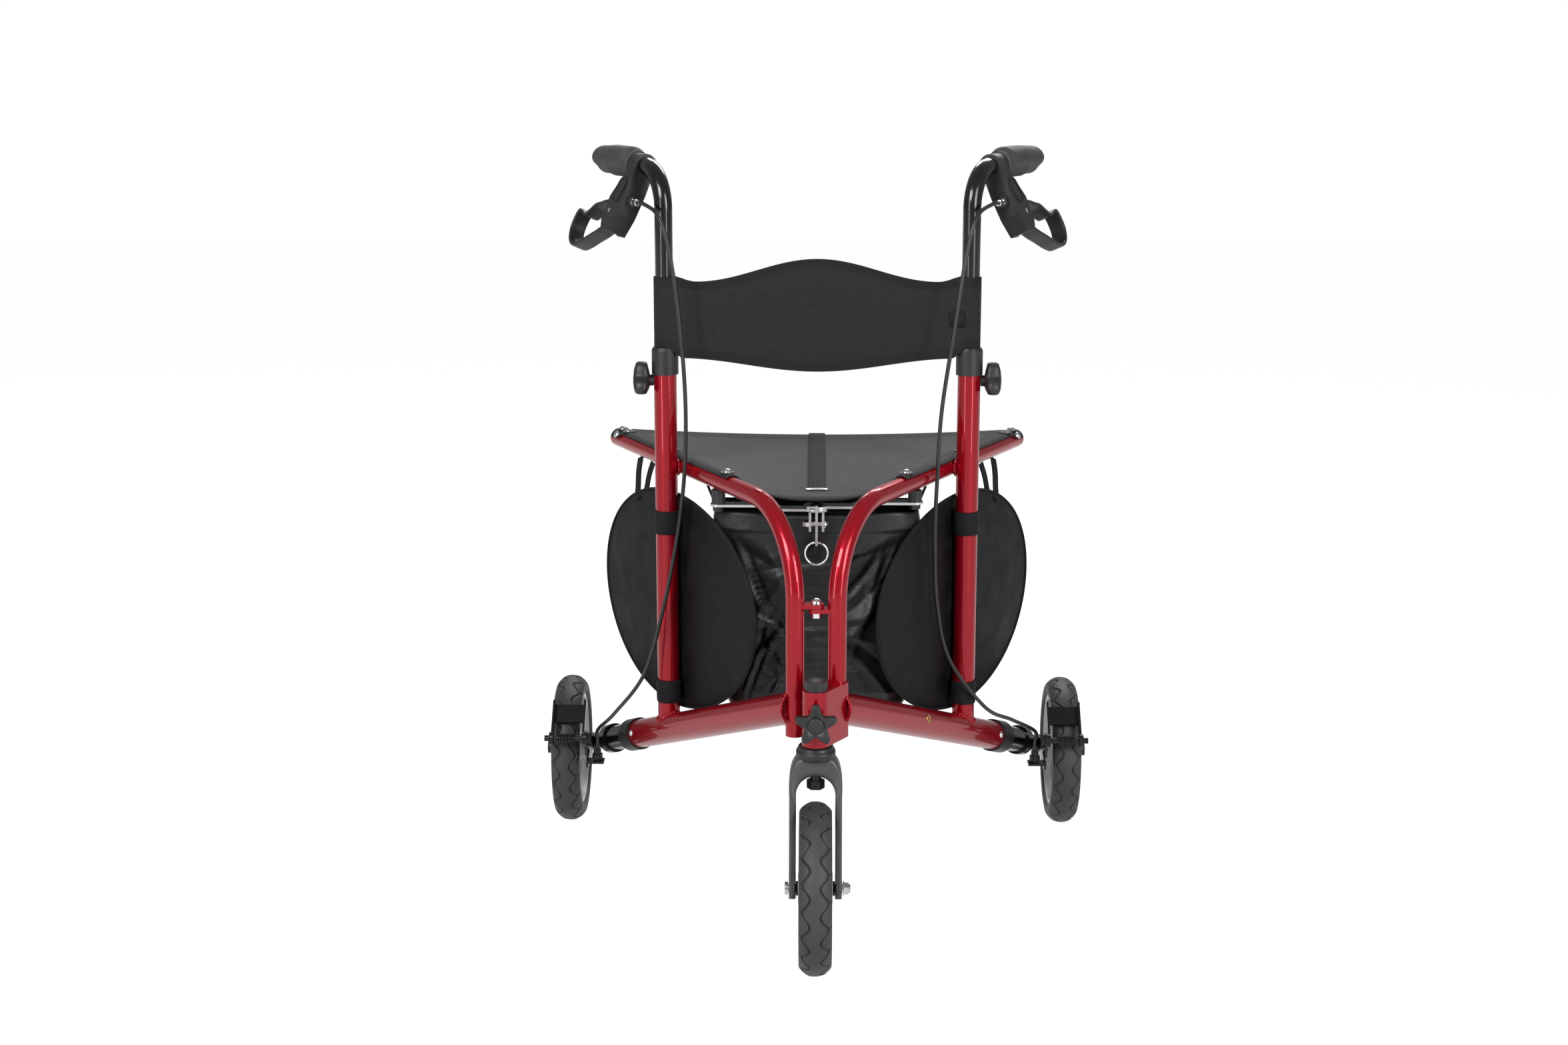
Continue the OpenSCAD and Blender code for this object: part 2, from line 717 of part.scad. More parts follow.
module housing_outline() {
    polygon([
        [strap_x, 0], [strap_x + 25, 0], [strap_x + 25, -grip_d / 2 - 3], [lever_pin.x + 14, lever_pin.y + 18],
        [lever_pin.x + 14, lever_pin.y - 12], [lever_pin.x + 4, lever_pin.y - 26],
        [lever_pin.x - 16, lever_pin.y - 26], [strap_x + 2, lever_pin.y - 2], [strap_x - 2, lever_pin.y + 30]
    ]);
}
module brake_housing() {
    lever_room = [lever_pin.x - 10, lever_pin.y + 20];
    at_brake() difference() {
        union() {
            flat_xz(-housing_w / 2, housing_w) housing_outline();
            translate([strap_x, 0, 0]) rotate([0, 90, 0]) cylinder(d = handle_d + 8, h = 25);
            flat_xz(-housing_w / 2 - 1.2, 2) difference() {
                pear([lever_pin.x - 10, lever_pin.y + 34], 22, [lever_pin.x - 6, lever_pin.y + 22], 22);
                pear([lever_pin.x - 10, lever_pin.y + 34], 19, [lever_pin.x - 6, lever_pin.y + 22], 19);
            }
            translate([adjuster_x - 4, 0, adjuster_z]) rotate([0, 90, 0]) cylinder(d = 15, h = 10);
        }
        translate([strap_x - 30, 0, 0]) rotate([0, 90, 0]) cylinder(d = handle_d + 2 * run_gap, h = 90);
        translate([lever_room.x, -lever_w / 2 - face_gap, lever_room.y - 100]) cube([60, lever_w + 2 * face_gap, 100]);
        translate([lever_pin.x, 0, lever_pin.y]) rotate([90, 0, 0])
            cylinder(d = lever_pin_d, h = 2 * housing_w, center = true);
        translate([adjuster_x - 5, 0, adjuster_z]) rotate([0, 90, 0]) cylinder(d = 8, h = 12);
    }
}
module right_brake_housing() {
    color(plastic) brake_housing();
}
module left_brake_housing() {
    color(plastic) left() brake_housing();
}
barrel_len = 14;
module brake_fittings() {
    at_brake() {
        translate([adjuster_x - 4 - barrel_len, 0, adjuster_z]) rotate([0, 90, 0]) {
            difference() {
                union() {
                    cylinder(d = 7.9, h = barrel_len + 10);
                    translate([0, 0, 2]) cylinder(d = 11, h = 5);
                    translate([0, 0, barrel_len - 4]) hex(13, 4);
                }
                translate([0, 0, -past]) cylinder(d = cable_d + 2 * face_gap, h = 6);
            }
        }
        translate([lever_pin.x, 0, lever_pin.y]) rotate([90, 0, 0])
            cylinder(d = lever_pin_d, h = housing_w, center = true);
    }
}
module right_brake_fittings() {
    color(steel) brake_fittings();
}
module left_brake_fittings() {
    color(steel) left() brake_fittings();
}
droop = 17;
module lever_outline(inset) {
    far = lever_len - 26;
    near_d = 40 - 2 * inset;
    far_d = 52 - 2 * inset;
    rotate(-droop) pear([26, 0], near_d, [far, 0], far_d);
}
module brake_lever() {
    at_brake() translate([lever_pin.x, 0, lever_pin.y]) difference() {
        union() {
            flat_xz(-lever_w / 2, lever_w) difference() {
                lever_outline(0);
                lever_outline(lever_t);
            }
            flat_xz(-lever_w / 2, lever_w) circle(d = 17);
        }
        rotate([90, 0, 0]) cylinder(d = lever_pin_d + 2 * run_gap, h = 2 * lever_w, center = true);
    }
}
module right_brake_lever() {
    color(plastic) brake_lever();
}
module left_brake_lever() {
    color(plastic) left() brake_lever();
}
module height_knob() {
    color(plastic) translate([upright_x + upright_d / 2 + face_gap, upright_y, knob_z]) rotate([0, 90, 0]) {
        reach = (upright_d - handle_d) / 2 + face_gap - face_gap;
        translate([0, 0, -reach]) cylinder(d = knob_screw_d, h = reach + past);
        cylinder(d = 14, h = 8);
        translate([0, 0, 6]) linear_extrude(11) {
            circle(d = 20);
            for (i = [0 : 2]) rotate(120 * i) {
                translate([14, 0]) circle(d = 13);
                translate([0, -6]) square([14, 12]);
            }
        }
        translate([0, 0, 17]) dome(16, 2.5);
    }
}
module right_height_knob() {
    height_knob();
}
module left_height_knob() {
    left() height_knob();
}

// Brake at a rear wheel: stamped bracket, arm with its bar before the tyre, pivot bolt and cable stop
bracket_t = 3;
arm_t = 3;
arm_gap = 3.6;
stop_y = brake_pivot.x + 18;
stop_z = brake_pivot.y - 36;
stop_d = 10;
stop_x = plate_x - bracket_t - 12;
arm_x = plate_x + face_gap;
arm_w = wheel_x + tyre_w / 2 - 3 - arm_x;
brake_bolt_d = 8;
module brake_bracket() {
    difference() {
        union() {
            side_plate(plate_x - bracket_t, bracket_t) {
                pear(plate_front + [8, 2], 22, brake_pivot, 20);
                pear(plate_front + [-6, 0], 20, [stop_y, stop_z - 4], 14);
            }
            translate([stop_x - 9, stop_y - 9, stop_z - 3]) cube([plate_x - stop_x + 9 - bracket_t + past, 18, 3]);
            translate([stop_x, stop_y, stop_z]) cylinder(d = stop_d, h = 16);
            translate([stop_x, stop_y, stop_z + 3]) cylinder(d = stop_d + 4, h = 6);
        }
        translate([stop_x, stop_y, stop_z + 10]) cylinder(d = cable_d + 2 * face_gap, h = 10);
    }
    x_rod(plate_x - bracket_t - 6, brake_pivot.x, brake_pivot.y, brake_bolt_d, arm_w + bracket_t + 15);
    translate([plate_x - bracket_t - 6, brake_pivot.x, brake_pivot.y]) rotate([0, 90, 0]) hex(nut_d, 6);
    x_rod(arm_x + arm_w + face_gap, brake_pivot.x, brake_pivot.y, brake_bolt_d + 9, 1.6);
}
module right_brake_bracket() {
    color(black) brake_bracket();
}
module left_brake_bracket() {
    color(black) left() brake_bracket();
}
bar_h = 26;
bar_t = 4;
function on_wheel(angle, r) = [rear_axle_y - r * cos(angle), wheel_r + r * sin(angle)];
module brake_arm() {
    bar_r = wheel_r + arm_gap;
    bar = on_wheel(brake_angle, bar_r + bar_t / 2);
    difference() {
        union() {
            for (x = [arm_x, arm_x + arm_w - arm_t]) side_plate(x, arm_t) {
                translate(brake_pivot) circle(d = 18);
                polygon([
                    on_wheel(pivot_angle, wheel_r + pivot_out + 7), on_wheel(brake_angle + 8.5, bar_r + 12),
                    on_wheel(brake_angle + 8.5, bar_r + 2.5), on_wheel(brake_angle - 6, bar_r + 1.8),
                    on_wheel(pivot_angle, wheel_r + pivot_out - 7)
                ]);
            }
            translate([arm_x, bar.x, bar.y]) rotate([90 - brake_angle, 0, 0])
                translate([arm_t / 2, -bar_h / 2, -bar_t / 2]) cube([arm_w - arm_t, bar_h, bar_t]);
        }
        x_rod(arm_x - past, brake_pivot.x, brake_pivot.y, brake_bolt_d + 2 * run_gap, arm_w + 2 * past);
    }
}
module right_brake_arm() {
    color(black) brake_arm();
}
module left_brake_arm() {
    color(black) left() brake_arm();
}

// Fold lock: two flat links on upright pivots, and a blade that locks their middle joint
link_y = link_pivot.y;
upper_z = link_z + link_t + face_gap;
notch_y = link_eye_d / 2 - 5;
lock_bolt_y = link_y - link_eye_d / 2 - 1;
lock_bolt_z = link_z - link_step - lock_bolt_drop;
lock_bolt_d = 6;
ear_x = 8;
ear_t = 3;
bend_x = 52;
spacer_d = 17;
rail_under = rail_z - rail_d / 2;
// A strip along X that steps from its outer height down to its middle height
module stepped_strip(z, t, x_out) {
    translate([0, link_y + link_w / 2, 0]) rotate([90, 0, 0]) linear_extrude(link_w) polygon([
        [0, z - link_step], [bend_x - 8, z - link_step], [bend_x + 6, z], [x_out, z],
        [x_out, z + t], [bend_x + 5, z + t], [bend_x - 9, z + t - link_step], [0, z + t - link_step]
    ]);
}
module link(z, notch) {
    difference() {
        union() {
            difference() {
                stepped_strip(z, link_t, link_pivot_x);
                translate([0, link_y, 0]) cylinder(d = link_eye_d - 2, h = 2 * z);
            }
            translate([link_pivot_x, link_y, z]) cylinder(d = link_w, h = link_t);
            translate([0, link_y, z - link_step]) cylinder(d = link_eye_d, h = link_t);
        }
        for (x = [0, link_pivot_x]) translate([x, link_y, 0]) cylinder(d = link_bolt_d + 2 * run_gap, h = 2 * z);
        translate([0, link_y, 0]) linear_extrude(2 * z) polygon(notch);
    }
}
notch_half = blade_t / 2 + face_gap;
module left_link() {
    color(steel) {
        left() link(link_z, [
            [-notch_half, -notch_y], [notch_half, -notch_y],
            [notch_half, -link_eye_d], [-notch_half, -link_eye_d]
        ]);
        difference() {
            for (side = [-1, 1]) side_plate(side * ear_x - ear_t / 2, ear_t) difference() {
                translate([lock_bolt_y - 9, lock_bolt_z - 8])
                    square([14 + link_eye_d / 2, link_z - link_step + link_t / 2 - lock_bolt_z + 8]);
                translate([lock_bolt_y + 14, lock_bolt_z - 10]) square([link_eye_d, lock_bolt_drop + 9]);
            }
            x_rod(-2 * ear_x, lock_bolt_y, lock_bolt_z, lock_bolt_d, 4 * ear_x);
            translate([-2 * ear_x, lock_bolt_y - 20, link_z - link_step]) cube([4 * ear_x, 13, 2 * link_t]);
        }
    }
}
module right_link() {
    flare = 7;
    color(steel) link(upper_z, [
        [-notch_half, -notch_y], [notch_half, -notch_y],
        [notch_half, -link_eye_d], [-notch_half - flare, -link_eye_d], [-notch_half - flare, -notch_y]
    ]);
}
module centre_pivot() {
    low = link_z - link_step;
    top = upper_z - link_step + link_t + face_gap;
    color(plastic) translate([0, link_y, 0]) {
        translate([0, 0, low - nut_h]) cylinder(d = link_bolt_d, h = top - low + nut_h + past);
        translate([0, 0, low - nut_h]) hex(nut_d - 1, nut_h);
        translate([0, 0, top]) dome(nut_d + 2, 4);
    }
}
module outer_bolt(z, top) {
    translate([link_pivot_x, link_y, 0]) {
        translate([0, 0, z - nut_h - face_gap]) cylinder(d = link_bolt_d, h = top - z + nut_h + face_gap);
        translate([0, 0, z - nut_h - face_gap]) hex(nut_d, nut_h);
        translate([0, 0, z + link_t + face_gap]) cylinder(d = spacer_d, h = rail_under - face_gap - z - link_t - face_gap);
    }
}
module left_link_bolt() {
    color(plastic) left() outer_bolt(link_z, rail_z + rail_d / 2 - past);
}
module right_link_bolt() {
    color(plastic) outer_bolt(upper_z, rail_under - face_gap - past);
}
spring_wire = 1;
spring_turns = 2.5;
spring_steps = 8;
module coil(x_start, pitch) {
    coil_r = lock_bolt_d / 2 + spring_wire;
    n = round(spring_turns * spring_steps);
    loft([
        for (i = [0 : n])
            let (
                turn = 360 * i / spring_steps,
                centre = [x_start + pitch * i / spring_steps, coil_r * cos(turn), coil_r * sin(turn)],
                away = [0, cos(turn), sin(turn)]
            )
            [for (k = [0 : 5]) centre + spring_wire / 2 * (cos(60 * k) * away - [sin(60 * k), 0, 0])]
    ]);
}
module lock_bolt() {
    half = 17;
    color(steel) {
        translate([0, lock_bolt_y, lock_bolt_z]) {
            translate([-half, 0, 0]) rotate([0, 90, 0]) cylinder(d = lock_bolt_d, h = 2 * half - 4);
            translate([-half + 3, 0, 0]) rotate([0, 90, 0]) hex(10, 4.5);
            translate([ear_x + ear_t / 2, 0, 0]) rotate([0, 90, 0]) {
                cylinder(d = 12, h = 1.2);
                translate([0, 0, 1.2]) dome(11, 4);
            }
        }
        translate([0, lock_bolt_y, lock_bolt_z]) {
            coil(blade_t / 2 + 1, 1.2);
            mirror([1, 0, 0]) coil(blade_t / 2 + 1, 1.2);
        }
    }
}
blade_up = lock_bolt_drop + link_t + face_gap + link_t + 3;
blade_down = 27;
module lock_lever() {
    color(steel) difference() {
        side_plate(-blade_t / 2, blade_t) {
            translate([lock_bolt_y, lock_bolt_z]) circle(d = 13);
            translate([lock_bolt_y - 5, lock_bolt_z]) square([link_y - notch_y - lock_bolt_y + 5 - face_gap, blade_up]);
            translate([lock_bolt_y - 5, lock_bolt_z - blade_down]) square([8, blade_down]);
        }
        x_rod(-blade_t, lock_bolt_y, lock_bolt_z, lock_bolt_d + 2 * run_gap, 2 * blade_t);
        x_rod(-blade_t, lock_bolt_y - 1, lock_bolt_z - blade_down + 4, 4.4, 2 * blade_t);
    }
}
pull_ring_d = 28;
module pull_ring() {
    wire = 3;
    color(steel) translate([0, lock_bolt_y - 1, lock_bolt_z - blade_down + 4 - pull_ring_d / 2])
        rotate([90, 0, 0]) rotate_extrude() translate([pull_ring_d / 2, 0]) circle(d = wire);
}

// Soft goods: plain closed solids in the space that the cloth takes
seat_front = 172;
seat_rear = rail_len - 4;
seat_rows = 8;
wrap_steps = 7;
wrap_low = 48;
wrap_high = 114;
span_steps = 12;
function seat_row(s, r) =
    let (
        axis = on_rail(s),
        out = [cos(rail_angle), -sin(rail_angle), 0],
        share = (s - seat_front) / (seat_rear - seat_front),
        sag = seat_sag * (1 - 0.75 * share),
        wrap = [
            for (i = [0 : wrap_steps])
                let (a = wrap_low + (wrap_high - wrap_low) * i / wrap_steps)
                    axis + r * (cos(a) * out + [0, 0, sin(a)])
        ],
        top = wrap[wrap_steps],
        span = [
            for (i = [1 : span_steps - 1])
                let (u = 1 - 2 * i / span_steps)
                    [top.x * u, top.y + 14 * (1 - share) * (1 - u * u), top.z - sag * (1 - u * u)]
        ]
    )
    [
        each wrap, each span,
        for (i = [wrap_steps : -1 : 0]) [-wrap[i].x, wrap[i].y, wrap[i].z]
    ];
module seat() {
    under_r = rail_d / 2 + face_gap;
    stations = [for (j = [0 : seat_rows]) seat_front + (seat_rear - seat_front) * j / seat_rows];
    color(cloth) difference() {
        sheet(
            [for (s = stations) seat_row(s, under_r + seat_t)],
            [for (s = stations) seat_row(s, under_r)]
        );
        for (side = [-1, 1]) translate([side * upright_x, upright_y, rail_z - 2 * rail_d])
            cylinder(d = upright_d + 2 * face_gap, h = 4 * rail_d);
    }
}
rivet_places = [186, 352, seat_rear - 34, seat_rear - 14];
module seat_rivets() {
    for (s = rivet_places) translate(on_rail(s) + [0, 0, rail_d / 2 + face_gap + seat_t + 0.1]) {
        cylinder(d = 17, h = 1.4);
        translate([0, 0, 1.4]) dome(11, 4);
    }
}
module right_seat_rivets() {
    color(steel) seat_rivets();
}
module left_seat_rivets() {
    color(steel) left() seat_rivets();
}
band_t = 2.4;
band_low = upright_top + cap_h + face_gap;
sleeve_d = handle_d + 2 * face_gap;
module backrest() {
    half = upright_x - handle_d / 2;
    steps = 24;
    color(cloth) {
        for (side = [-1, 1]) translate([side * upright_x, upright_y, band_low])
            ring(sleeve_d + 2 * band_t, sleeve_d, band_h);
        translate([0, upright_y - sleeve_d / 2, 0]) rotate([90, 0, 0]) linear_extrude(band_t) polygon([
            for (i = [0 : steps])
                let (x = -upright_x + 2 * upright_x * i / steps)
                    [x, band_low - 1.8 * band_rise * pow(cos(90 * x / upright_x), 2)],
            for (i = [steps : -1 : 0])
                let (x = -upright_x + 2 * upright_x * i / steps)
                    [x, band_low + band_h + band_rise * pow(cos(90 * x / upright_x), 2)]
        ]);
    }
}
bag_top = link_z - link_step - nut_h - 4;
bag_mid_y = link_y + bag_y / 2 - 6;
bag_sides = 28;
bag_wall = 2.5;
function bag_ring(z, inset, share) = [
    for (k = [0 : bag_sides - 1])
        let (
            a = 360 * k / bag_sides,
            swell = 0.82 + 0.18 * sin(180 * (0.15 + 0.7 * share)),
            cx = pow(abs(cos(a)), 0.55) * sign(cos(a)),
            cy = pow(abs(sin(a)), 0.55) * sign(sin(a))
        )
        [(bag_x * swell - inset) * cx, bag_mid_y + (bag_y / 2 * swell - inset) * cy, z]
];
bag_strap_w = 16;
bag_hang = on_rail(250);
bag_side = bag_x * 0.89;
module bag() {
    low = bag_top - bag_h;
    levels = [0, 0.03, 0.1, 0.3, 0.5, 0.7, 0.9, 1];
    color(cloth) {
        loft([
            for (u = levels) bag_ring(low + bag_h * u, 10 * pow(1 - min(1, u * 10), 2), u),
            for (i = [len(levels) - 1 : -1 : 1])
                let (u = levels[i]) bag_ring(max(low + bag_h * u, low + bag_wall), bag_wall + 10 * pow(1 - min(1, u * 10), 2), u)
        ]);
        for (side = [-1, 1]) between([side * bag_side, bag_hang.y, bag_top - 14], [side * bag_hang.x, bag_hang.y, rail_under - 0.6])
            translate([-1, -bag_strap_w / 2, 0])
                cube([2, bag_strap_w, norm([bag_hang.x - bag_side, rail_under + 13.4 - bag_top])]);
    }
}
panel_gap = 0.6;
panel_s = 10;
panel_z = 352.5;
loop_h = 30;
loop_levels = [panel_z - 0.408 * panel_h, panel_z + 0.385 * panel_h];
module at_panel() {
    translate([upright_x, upright_y, 0]) rotate([0, 0, 90 - bottom_angle])
        translate([0, upright_d / 2 + panel_gap, 0]) children();
}
module side_panel() {
    steps = 44;
    difference() {
        at_panel() rotate([90, 0, 0]) translate([0, 0, -panel_t]) linear_extrude(panel_t) polygon([
            for (i = [0 : steps - 1])
                let (a = 360 * i / steps)
                    [
                        panel_s + panel_len / 2 * cos(a) * (1 + 0.04 * sin(a)),
                        panel_z + panel_h / 2 * sin(a) * (1 + 0.07 * cos(a)) - 3 * cos(a)
                    ]
        ]);
        rod(on_bottom(0), on_bottom(bottom_len), bottom_d + 2 * panel_gap);
        rod(on_rail(0), on_rail(rail_len), rail_d + 2 * panel_gap);
    }
    for (z = loop_levels) translate([upright_x, upright_y, z - loop_h / 2])
        ring(upright_d + 2 * panel_gap + 2.4, upright_d + 2 * panel_gap, loop_h);
}
module right_side_panel() {
    color(cloth) side_panel();
}
module left_side_panel() {
    color(cloth) left() side_panel();
}

// Brake cable: from the housing's adjuster down past the upright to the stop at the wheel
function spline(p, i, t) =
    let (
        a = p[max(i - 1, 0)], b = p[i], c = p[i + 1], d = p[min(i + 2, len(p) - 1)]
    )
    0.5 * (2 * b + (c - a) * t + (2 * a - 5 * b + 4 * c - d) * t * t + (3 * b - a - 3 * c + d) * t * t * t);
function smooth(p, n) = [
    for (i = [0 : len(p) - 2], k = [0 : n - 1]) spline(p, i, k / n), p[len(p) - 1]
];
function unit(v) = v / norm(v);
cable_mouth = adjuster_x - 4 - barrel_len;
function at_brake_point(x, z) = [upright_x, upright_y, handle_z]
    + x * [sin(handle_angle), cos(handle_angle), 0]
    + z * [-sin(brake_lean) * cos(handle_angle), sin(brake_lean) * sin(handle_angle), cos(brake_lean)];
left_run = [
    [194, 48, 848], [180, 36, 802], [169, 33, 720], [163, 38, 625], [165, 43, 535], [175, 45, 450],
    [194, 50, 355], [220, 60, 265], [264, 108, 196], [291, 157, 158]
];
right_run = [
    [194, 48, 848], [181, 36, 800], [166, 22, 704], [153, 16, 612], [149, 16, 530], [147, 16, 450],
    [151, 20, 370], [168, 32, 294], [218, 72, 218], [292, 158, 158]
];
function cable_route(run) = [
    at_brake_point(cable_mouth + 3, adjuster_z), at_brake_point(cable_mouth - 14, adjuster_z),
    each run,
    [stop_x, stop_y, stop_z + 28], [stop_x, stop_y, stop_z + 11]
];
cable_steps = 3;
cable_sides = 8;
module cable(run) {
    path = smooth(cable_route(run), cable_steps);
    last = len(path) - 1;
    loft([
        for (i = [0 : last])
            let (
                t = unit(path[min(i + 1, last)] - path[max(i - 1, 0)]),
                u = unit(cross(t, [0, 1, 0])),
                w = cross(t, u)
            )
            [for (k = [0 : cable_sides - 1])
                path[i] + cable_d / 2 * (cos(360 * k / cable_sides) * u + sin(360 * k / cable_sides) * w)]
    ]);
}
module right_cable() {
    color(black) cable(right_run);
}
module left_cable() {
    color(black) left() cable(left_run);
}

right_rail_tube();
right_bottom_tube();
right_upright();
head_tube();
stem_bushes();
stem_cap();
hinge_bolts();
right_rear_leg();
right_collars();
right_brake_bracket();
right_wheel_axle();
right_side_panel();
right_seat_rivets();
right_cable();
seat();
backrest();
bag();
left_rail_tube();
left_bottom_tube();
left_upright();
left_rear_leg();
left_collars();
left_brake_bracket();
left_wheel_axle();
left_side_panel();
left_seat_rivets();
left_cable();
left_link_bolt();
left_link();
centre_pivot();
lock_bolt();
right_link();
right_link_bolt();
lock_lever();
pull_ring();
fork();
stem_bolt();
front_axle();
front_tyre();
front_rim();
right_tyre();
right_rim();
left_tyre();
left_rim();
right_handle_tube();
right_grip();
right_brake_housing();
right_brake_fittings();
left_handle_tube();
left_grip();
left_brake_housing();
left_brake_fittings();
right_brake_lever();
left_brake_lever();
right_brake_arm();
left_brake_arm();
right_height_knob();
left_height_knob();
star_knob();
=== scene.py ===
"""Looks of the three wheel rollator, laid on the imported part's own frame, in metres."""

import bmesh
import bpy
import numpy as np
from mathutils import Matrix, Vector


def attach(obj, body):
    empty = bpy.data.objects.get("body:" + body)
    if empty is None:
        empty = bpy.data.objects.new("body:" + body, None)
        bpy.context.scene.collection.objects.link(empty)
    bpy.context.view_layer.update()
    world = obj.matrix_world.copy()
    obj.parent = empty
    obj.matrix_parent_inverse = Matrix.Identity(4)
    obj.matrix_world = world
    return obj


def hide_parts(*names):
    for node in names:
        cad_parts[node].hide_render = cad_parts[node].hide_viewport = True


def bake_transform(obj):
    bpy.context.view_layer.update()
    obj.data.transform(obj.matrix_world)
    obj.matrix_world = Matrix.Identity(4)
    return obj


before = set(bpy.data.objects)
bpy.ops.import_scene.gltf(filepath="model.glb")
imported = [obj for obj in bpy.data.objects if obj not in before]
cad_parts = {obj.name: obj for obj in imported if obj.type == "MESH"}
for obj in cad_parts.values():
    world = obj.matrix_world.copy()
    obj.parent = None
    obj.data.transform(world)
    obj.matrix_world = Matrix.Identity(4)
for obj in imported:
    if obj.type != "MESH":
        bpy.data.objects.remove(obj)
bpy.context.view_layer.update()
scene = bpy.context.scene

# Studio: the camera stands in front, a little above the handles, and looks down at the seat.
# The floor and the room are white to the camera alone, and the floor keeps a faint shadow.
# Large soft boxes light the frame, and two tall ones draw the bright lines along the tubes.
scene.view_settings.view_transform = "Standard"
camera_data = bpy.data.cameras.new("camera")
camera_data.lens = 50
camera_data.sensor_width = 36
camera = bpy.data.objects.new("camera", camera_data)
camera.location = (0, -2.625, 1.059)
camera.rotation_euler = np.radians((77.5, 0, 0.877))
scene.collection.objects.link(camera)
scene.camera = camera


def add_node(tree, kind, inputs=(), **settings):
    """A shader node with its settings, whose inputs are values or the sockets that feed them."""
    made = tree.nodes.new("ShaderNode" + kind)
    for name, value in settings.items():
        setattr(made, name, value)
    for name, value in dict(inputs).items():
        if isinstance(value, bpy.types.NodeSocket):
            tree.links.new(value, made.inputs[name])
        else:
            made.inputs[name].default_value = value
    return made


def reckon(tree, operation, *values):
    """The outcome of a Math node on values or sockets."""
    return add_node(tree, "Math", dict(enumerate(values)), operation=operation).outputs[0]


def white_rays(tree, plain, seen, mirrored):
    """The strength of a glow: plain for light, seen for the camera's own rays, mirrored for reflections."""
    rays = add_node(tree, "LightPath").outputs
    direct = add_node(tree, "MapRange", {"Value": rays["Is Camera Ray"], "To Min": plain, "To Max": seen})
    bent = reckon(tree, "MAXIMUM", rays["Is Glossy Ray"], rays["Is Transmission Ray"])
    return reckon(tree, "MULTIPLY_ADD", bent, mirrored - plain, direct.outputs[0])


room = bpy.data.worlds.new("white_room")
room.use_nodes = True
room_light = room.node_tree.nodes["Background"].inputs
room_light["Color"].default_value = (1, 1, 1, 1)
room_strength = white_rays(room.node_tree, plain=0.14, seen=1, mirrored=0.3)
room.node_tree.links.new(room_strength, room_light["Strength"])
scene.world = room

floor_mesh = bpy.data.meshes.new("floor")
reach = 9
floor_corners = [(-reach, -reach, 0), (reach, -reach, 0), (reach, reach, 0), (-reach, reach, 0)]
floor_mesh.from_pydata(floor_corners, [], [(0, 1, 2, 3)])
floor = bpy.data.objects.new("floor", floor_mesh)
scene.collection.objects.link(floor)
floor_paint = bpy.data.materials.new("pale_floor")
floor_paint.use_nodes = True
floor_tree = floor_paint.node_tree
floor_tree.nodes.remove(floor_tree.nodes["Principled BSDF"])
floor_strength = white_rays(floor_tree, plain=0.2, seen=0.95, mirrored=0.7)
floor_glow = add_node(floor_tree, "Emission", {"Strength": floor_strength})
floor_matt = add_node(floor_tree, "BsdfDiffuse", {"Color": (0.24, 0.24, 0.24, 1)})
floor_both = add_node(floor_tree, "AddShader", {0: floor_glow.outputs[0], 1: floor_matt.outputs[0]})
floor_tree.links.new(floor_both.outputs[0], floor_tree.nodes["Material Output"].inputs["Surface"])
floor_mesh.materials.append(floor_paint)


def soft_box(name, place, aim, size, power):
    """A rectangular lamp at a place, turned towards the point that it lights."""
    lamp = bpy.data.lights.new(name, "AREA")
    lamp.shape = "RECTANGLE"
    lamp.size, lamp.size_y = size
    lamp.energy = power
    box = bpy.data.objects.new(name, lamp)
    box.location = place
    box.rotation_euler = (Vector(aim) - Vector(place)).to_track_quat("-Z", "Y").to_euler()
    scene.collection.objects.link(box)


soft_box("key_box", (-1.5, -2.3, 2.5), (0, 0, 0.5), (1.6, 1.2), 70)
soft_box("fill_box", (1.9, -2.1, 1.7), (0, 0, 0.5), (1.2, 1.6), 38)
soft_box("left_strip", (-1.3, -1.6, 0.9), (-0.1, 0, 0.6), (0.22, 1.5), 9)
soft_box("right_strip", (1.3, -1.6, 0.9), (0.1, 0, 0.6), (0.22, 1.5), 9)
soft_box("back_box", (0.3, 2.2, 2.3), (0, 0, 0.5), (1.8, 1.0), 44)

# Brake cables: steel wire in a black plastic sheath, pressed into the adjuster under each handle and the
# stop by the wheel. The two hang in curves of their own.
sides = (("right", (1, 1, 1)), ("left", (-1, 1, 1)))


def smooth_route(points, steps):
    """A curve through points: each stretch is the cubic whose end slopes are half its neighbours' chord."""
    points = np.asarray(points, float)
    line = np.vstack([points[:1], points, points[-1:]])
    a, b, c, d = (line[i : len(line) - 3 + i, None] for i in range(4))
    t = np.linspace(0, 1, steps, endpoint=False)[None, :, None]
    cubic = 2 * b + (c - a) * t + (2 * a - 5 * b + 4 * c - d) * t**2 + (3 * b - a - 3 * c + d) * t**3
    return np.vstack([cubic.reshape(-1, 3) / 2, points[-1:]])


def full_turn(count):
    """Angles spread evenly round a circle."""
    return np.linspace(0, 2 * np.pi, count, endpoint=False)


def grid_of(*measures):
    """Points from their measures, each of which is spread over the whole grid."""
    return np.stack(np.broadcast_arrays(*measures), axis=-1)


def oval(count, wide, high):
    """A ring of points: half the width times the cosine, half the height times the sine of the angle."""
    turn = full_turn(count)
    return grid_of(wide / 2 * np.cos(turn), high / 2 * np.sin(turn))


def unit(vector):
    """A vector or rows of vectors, scaled to length one."""
    return vector / np.linalg.norm(vector, axis=-1, keepdims=True)


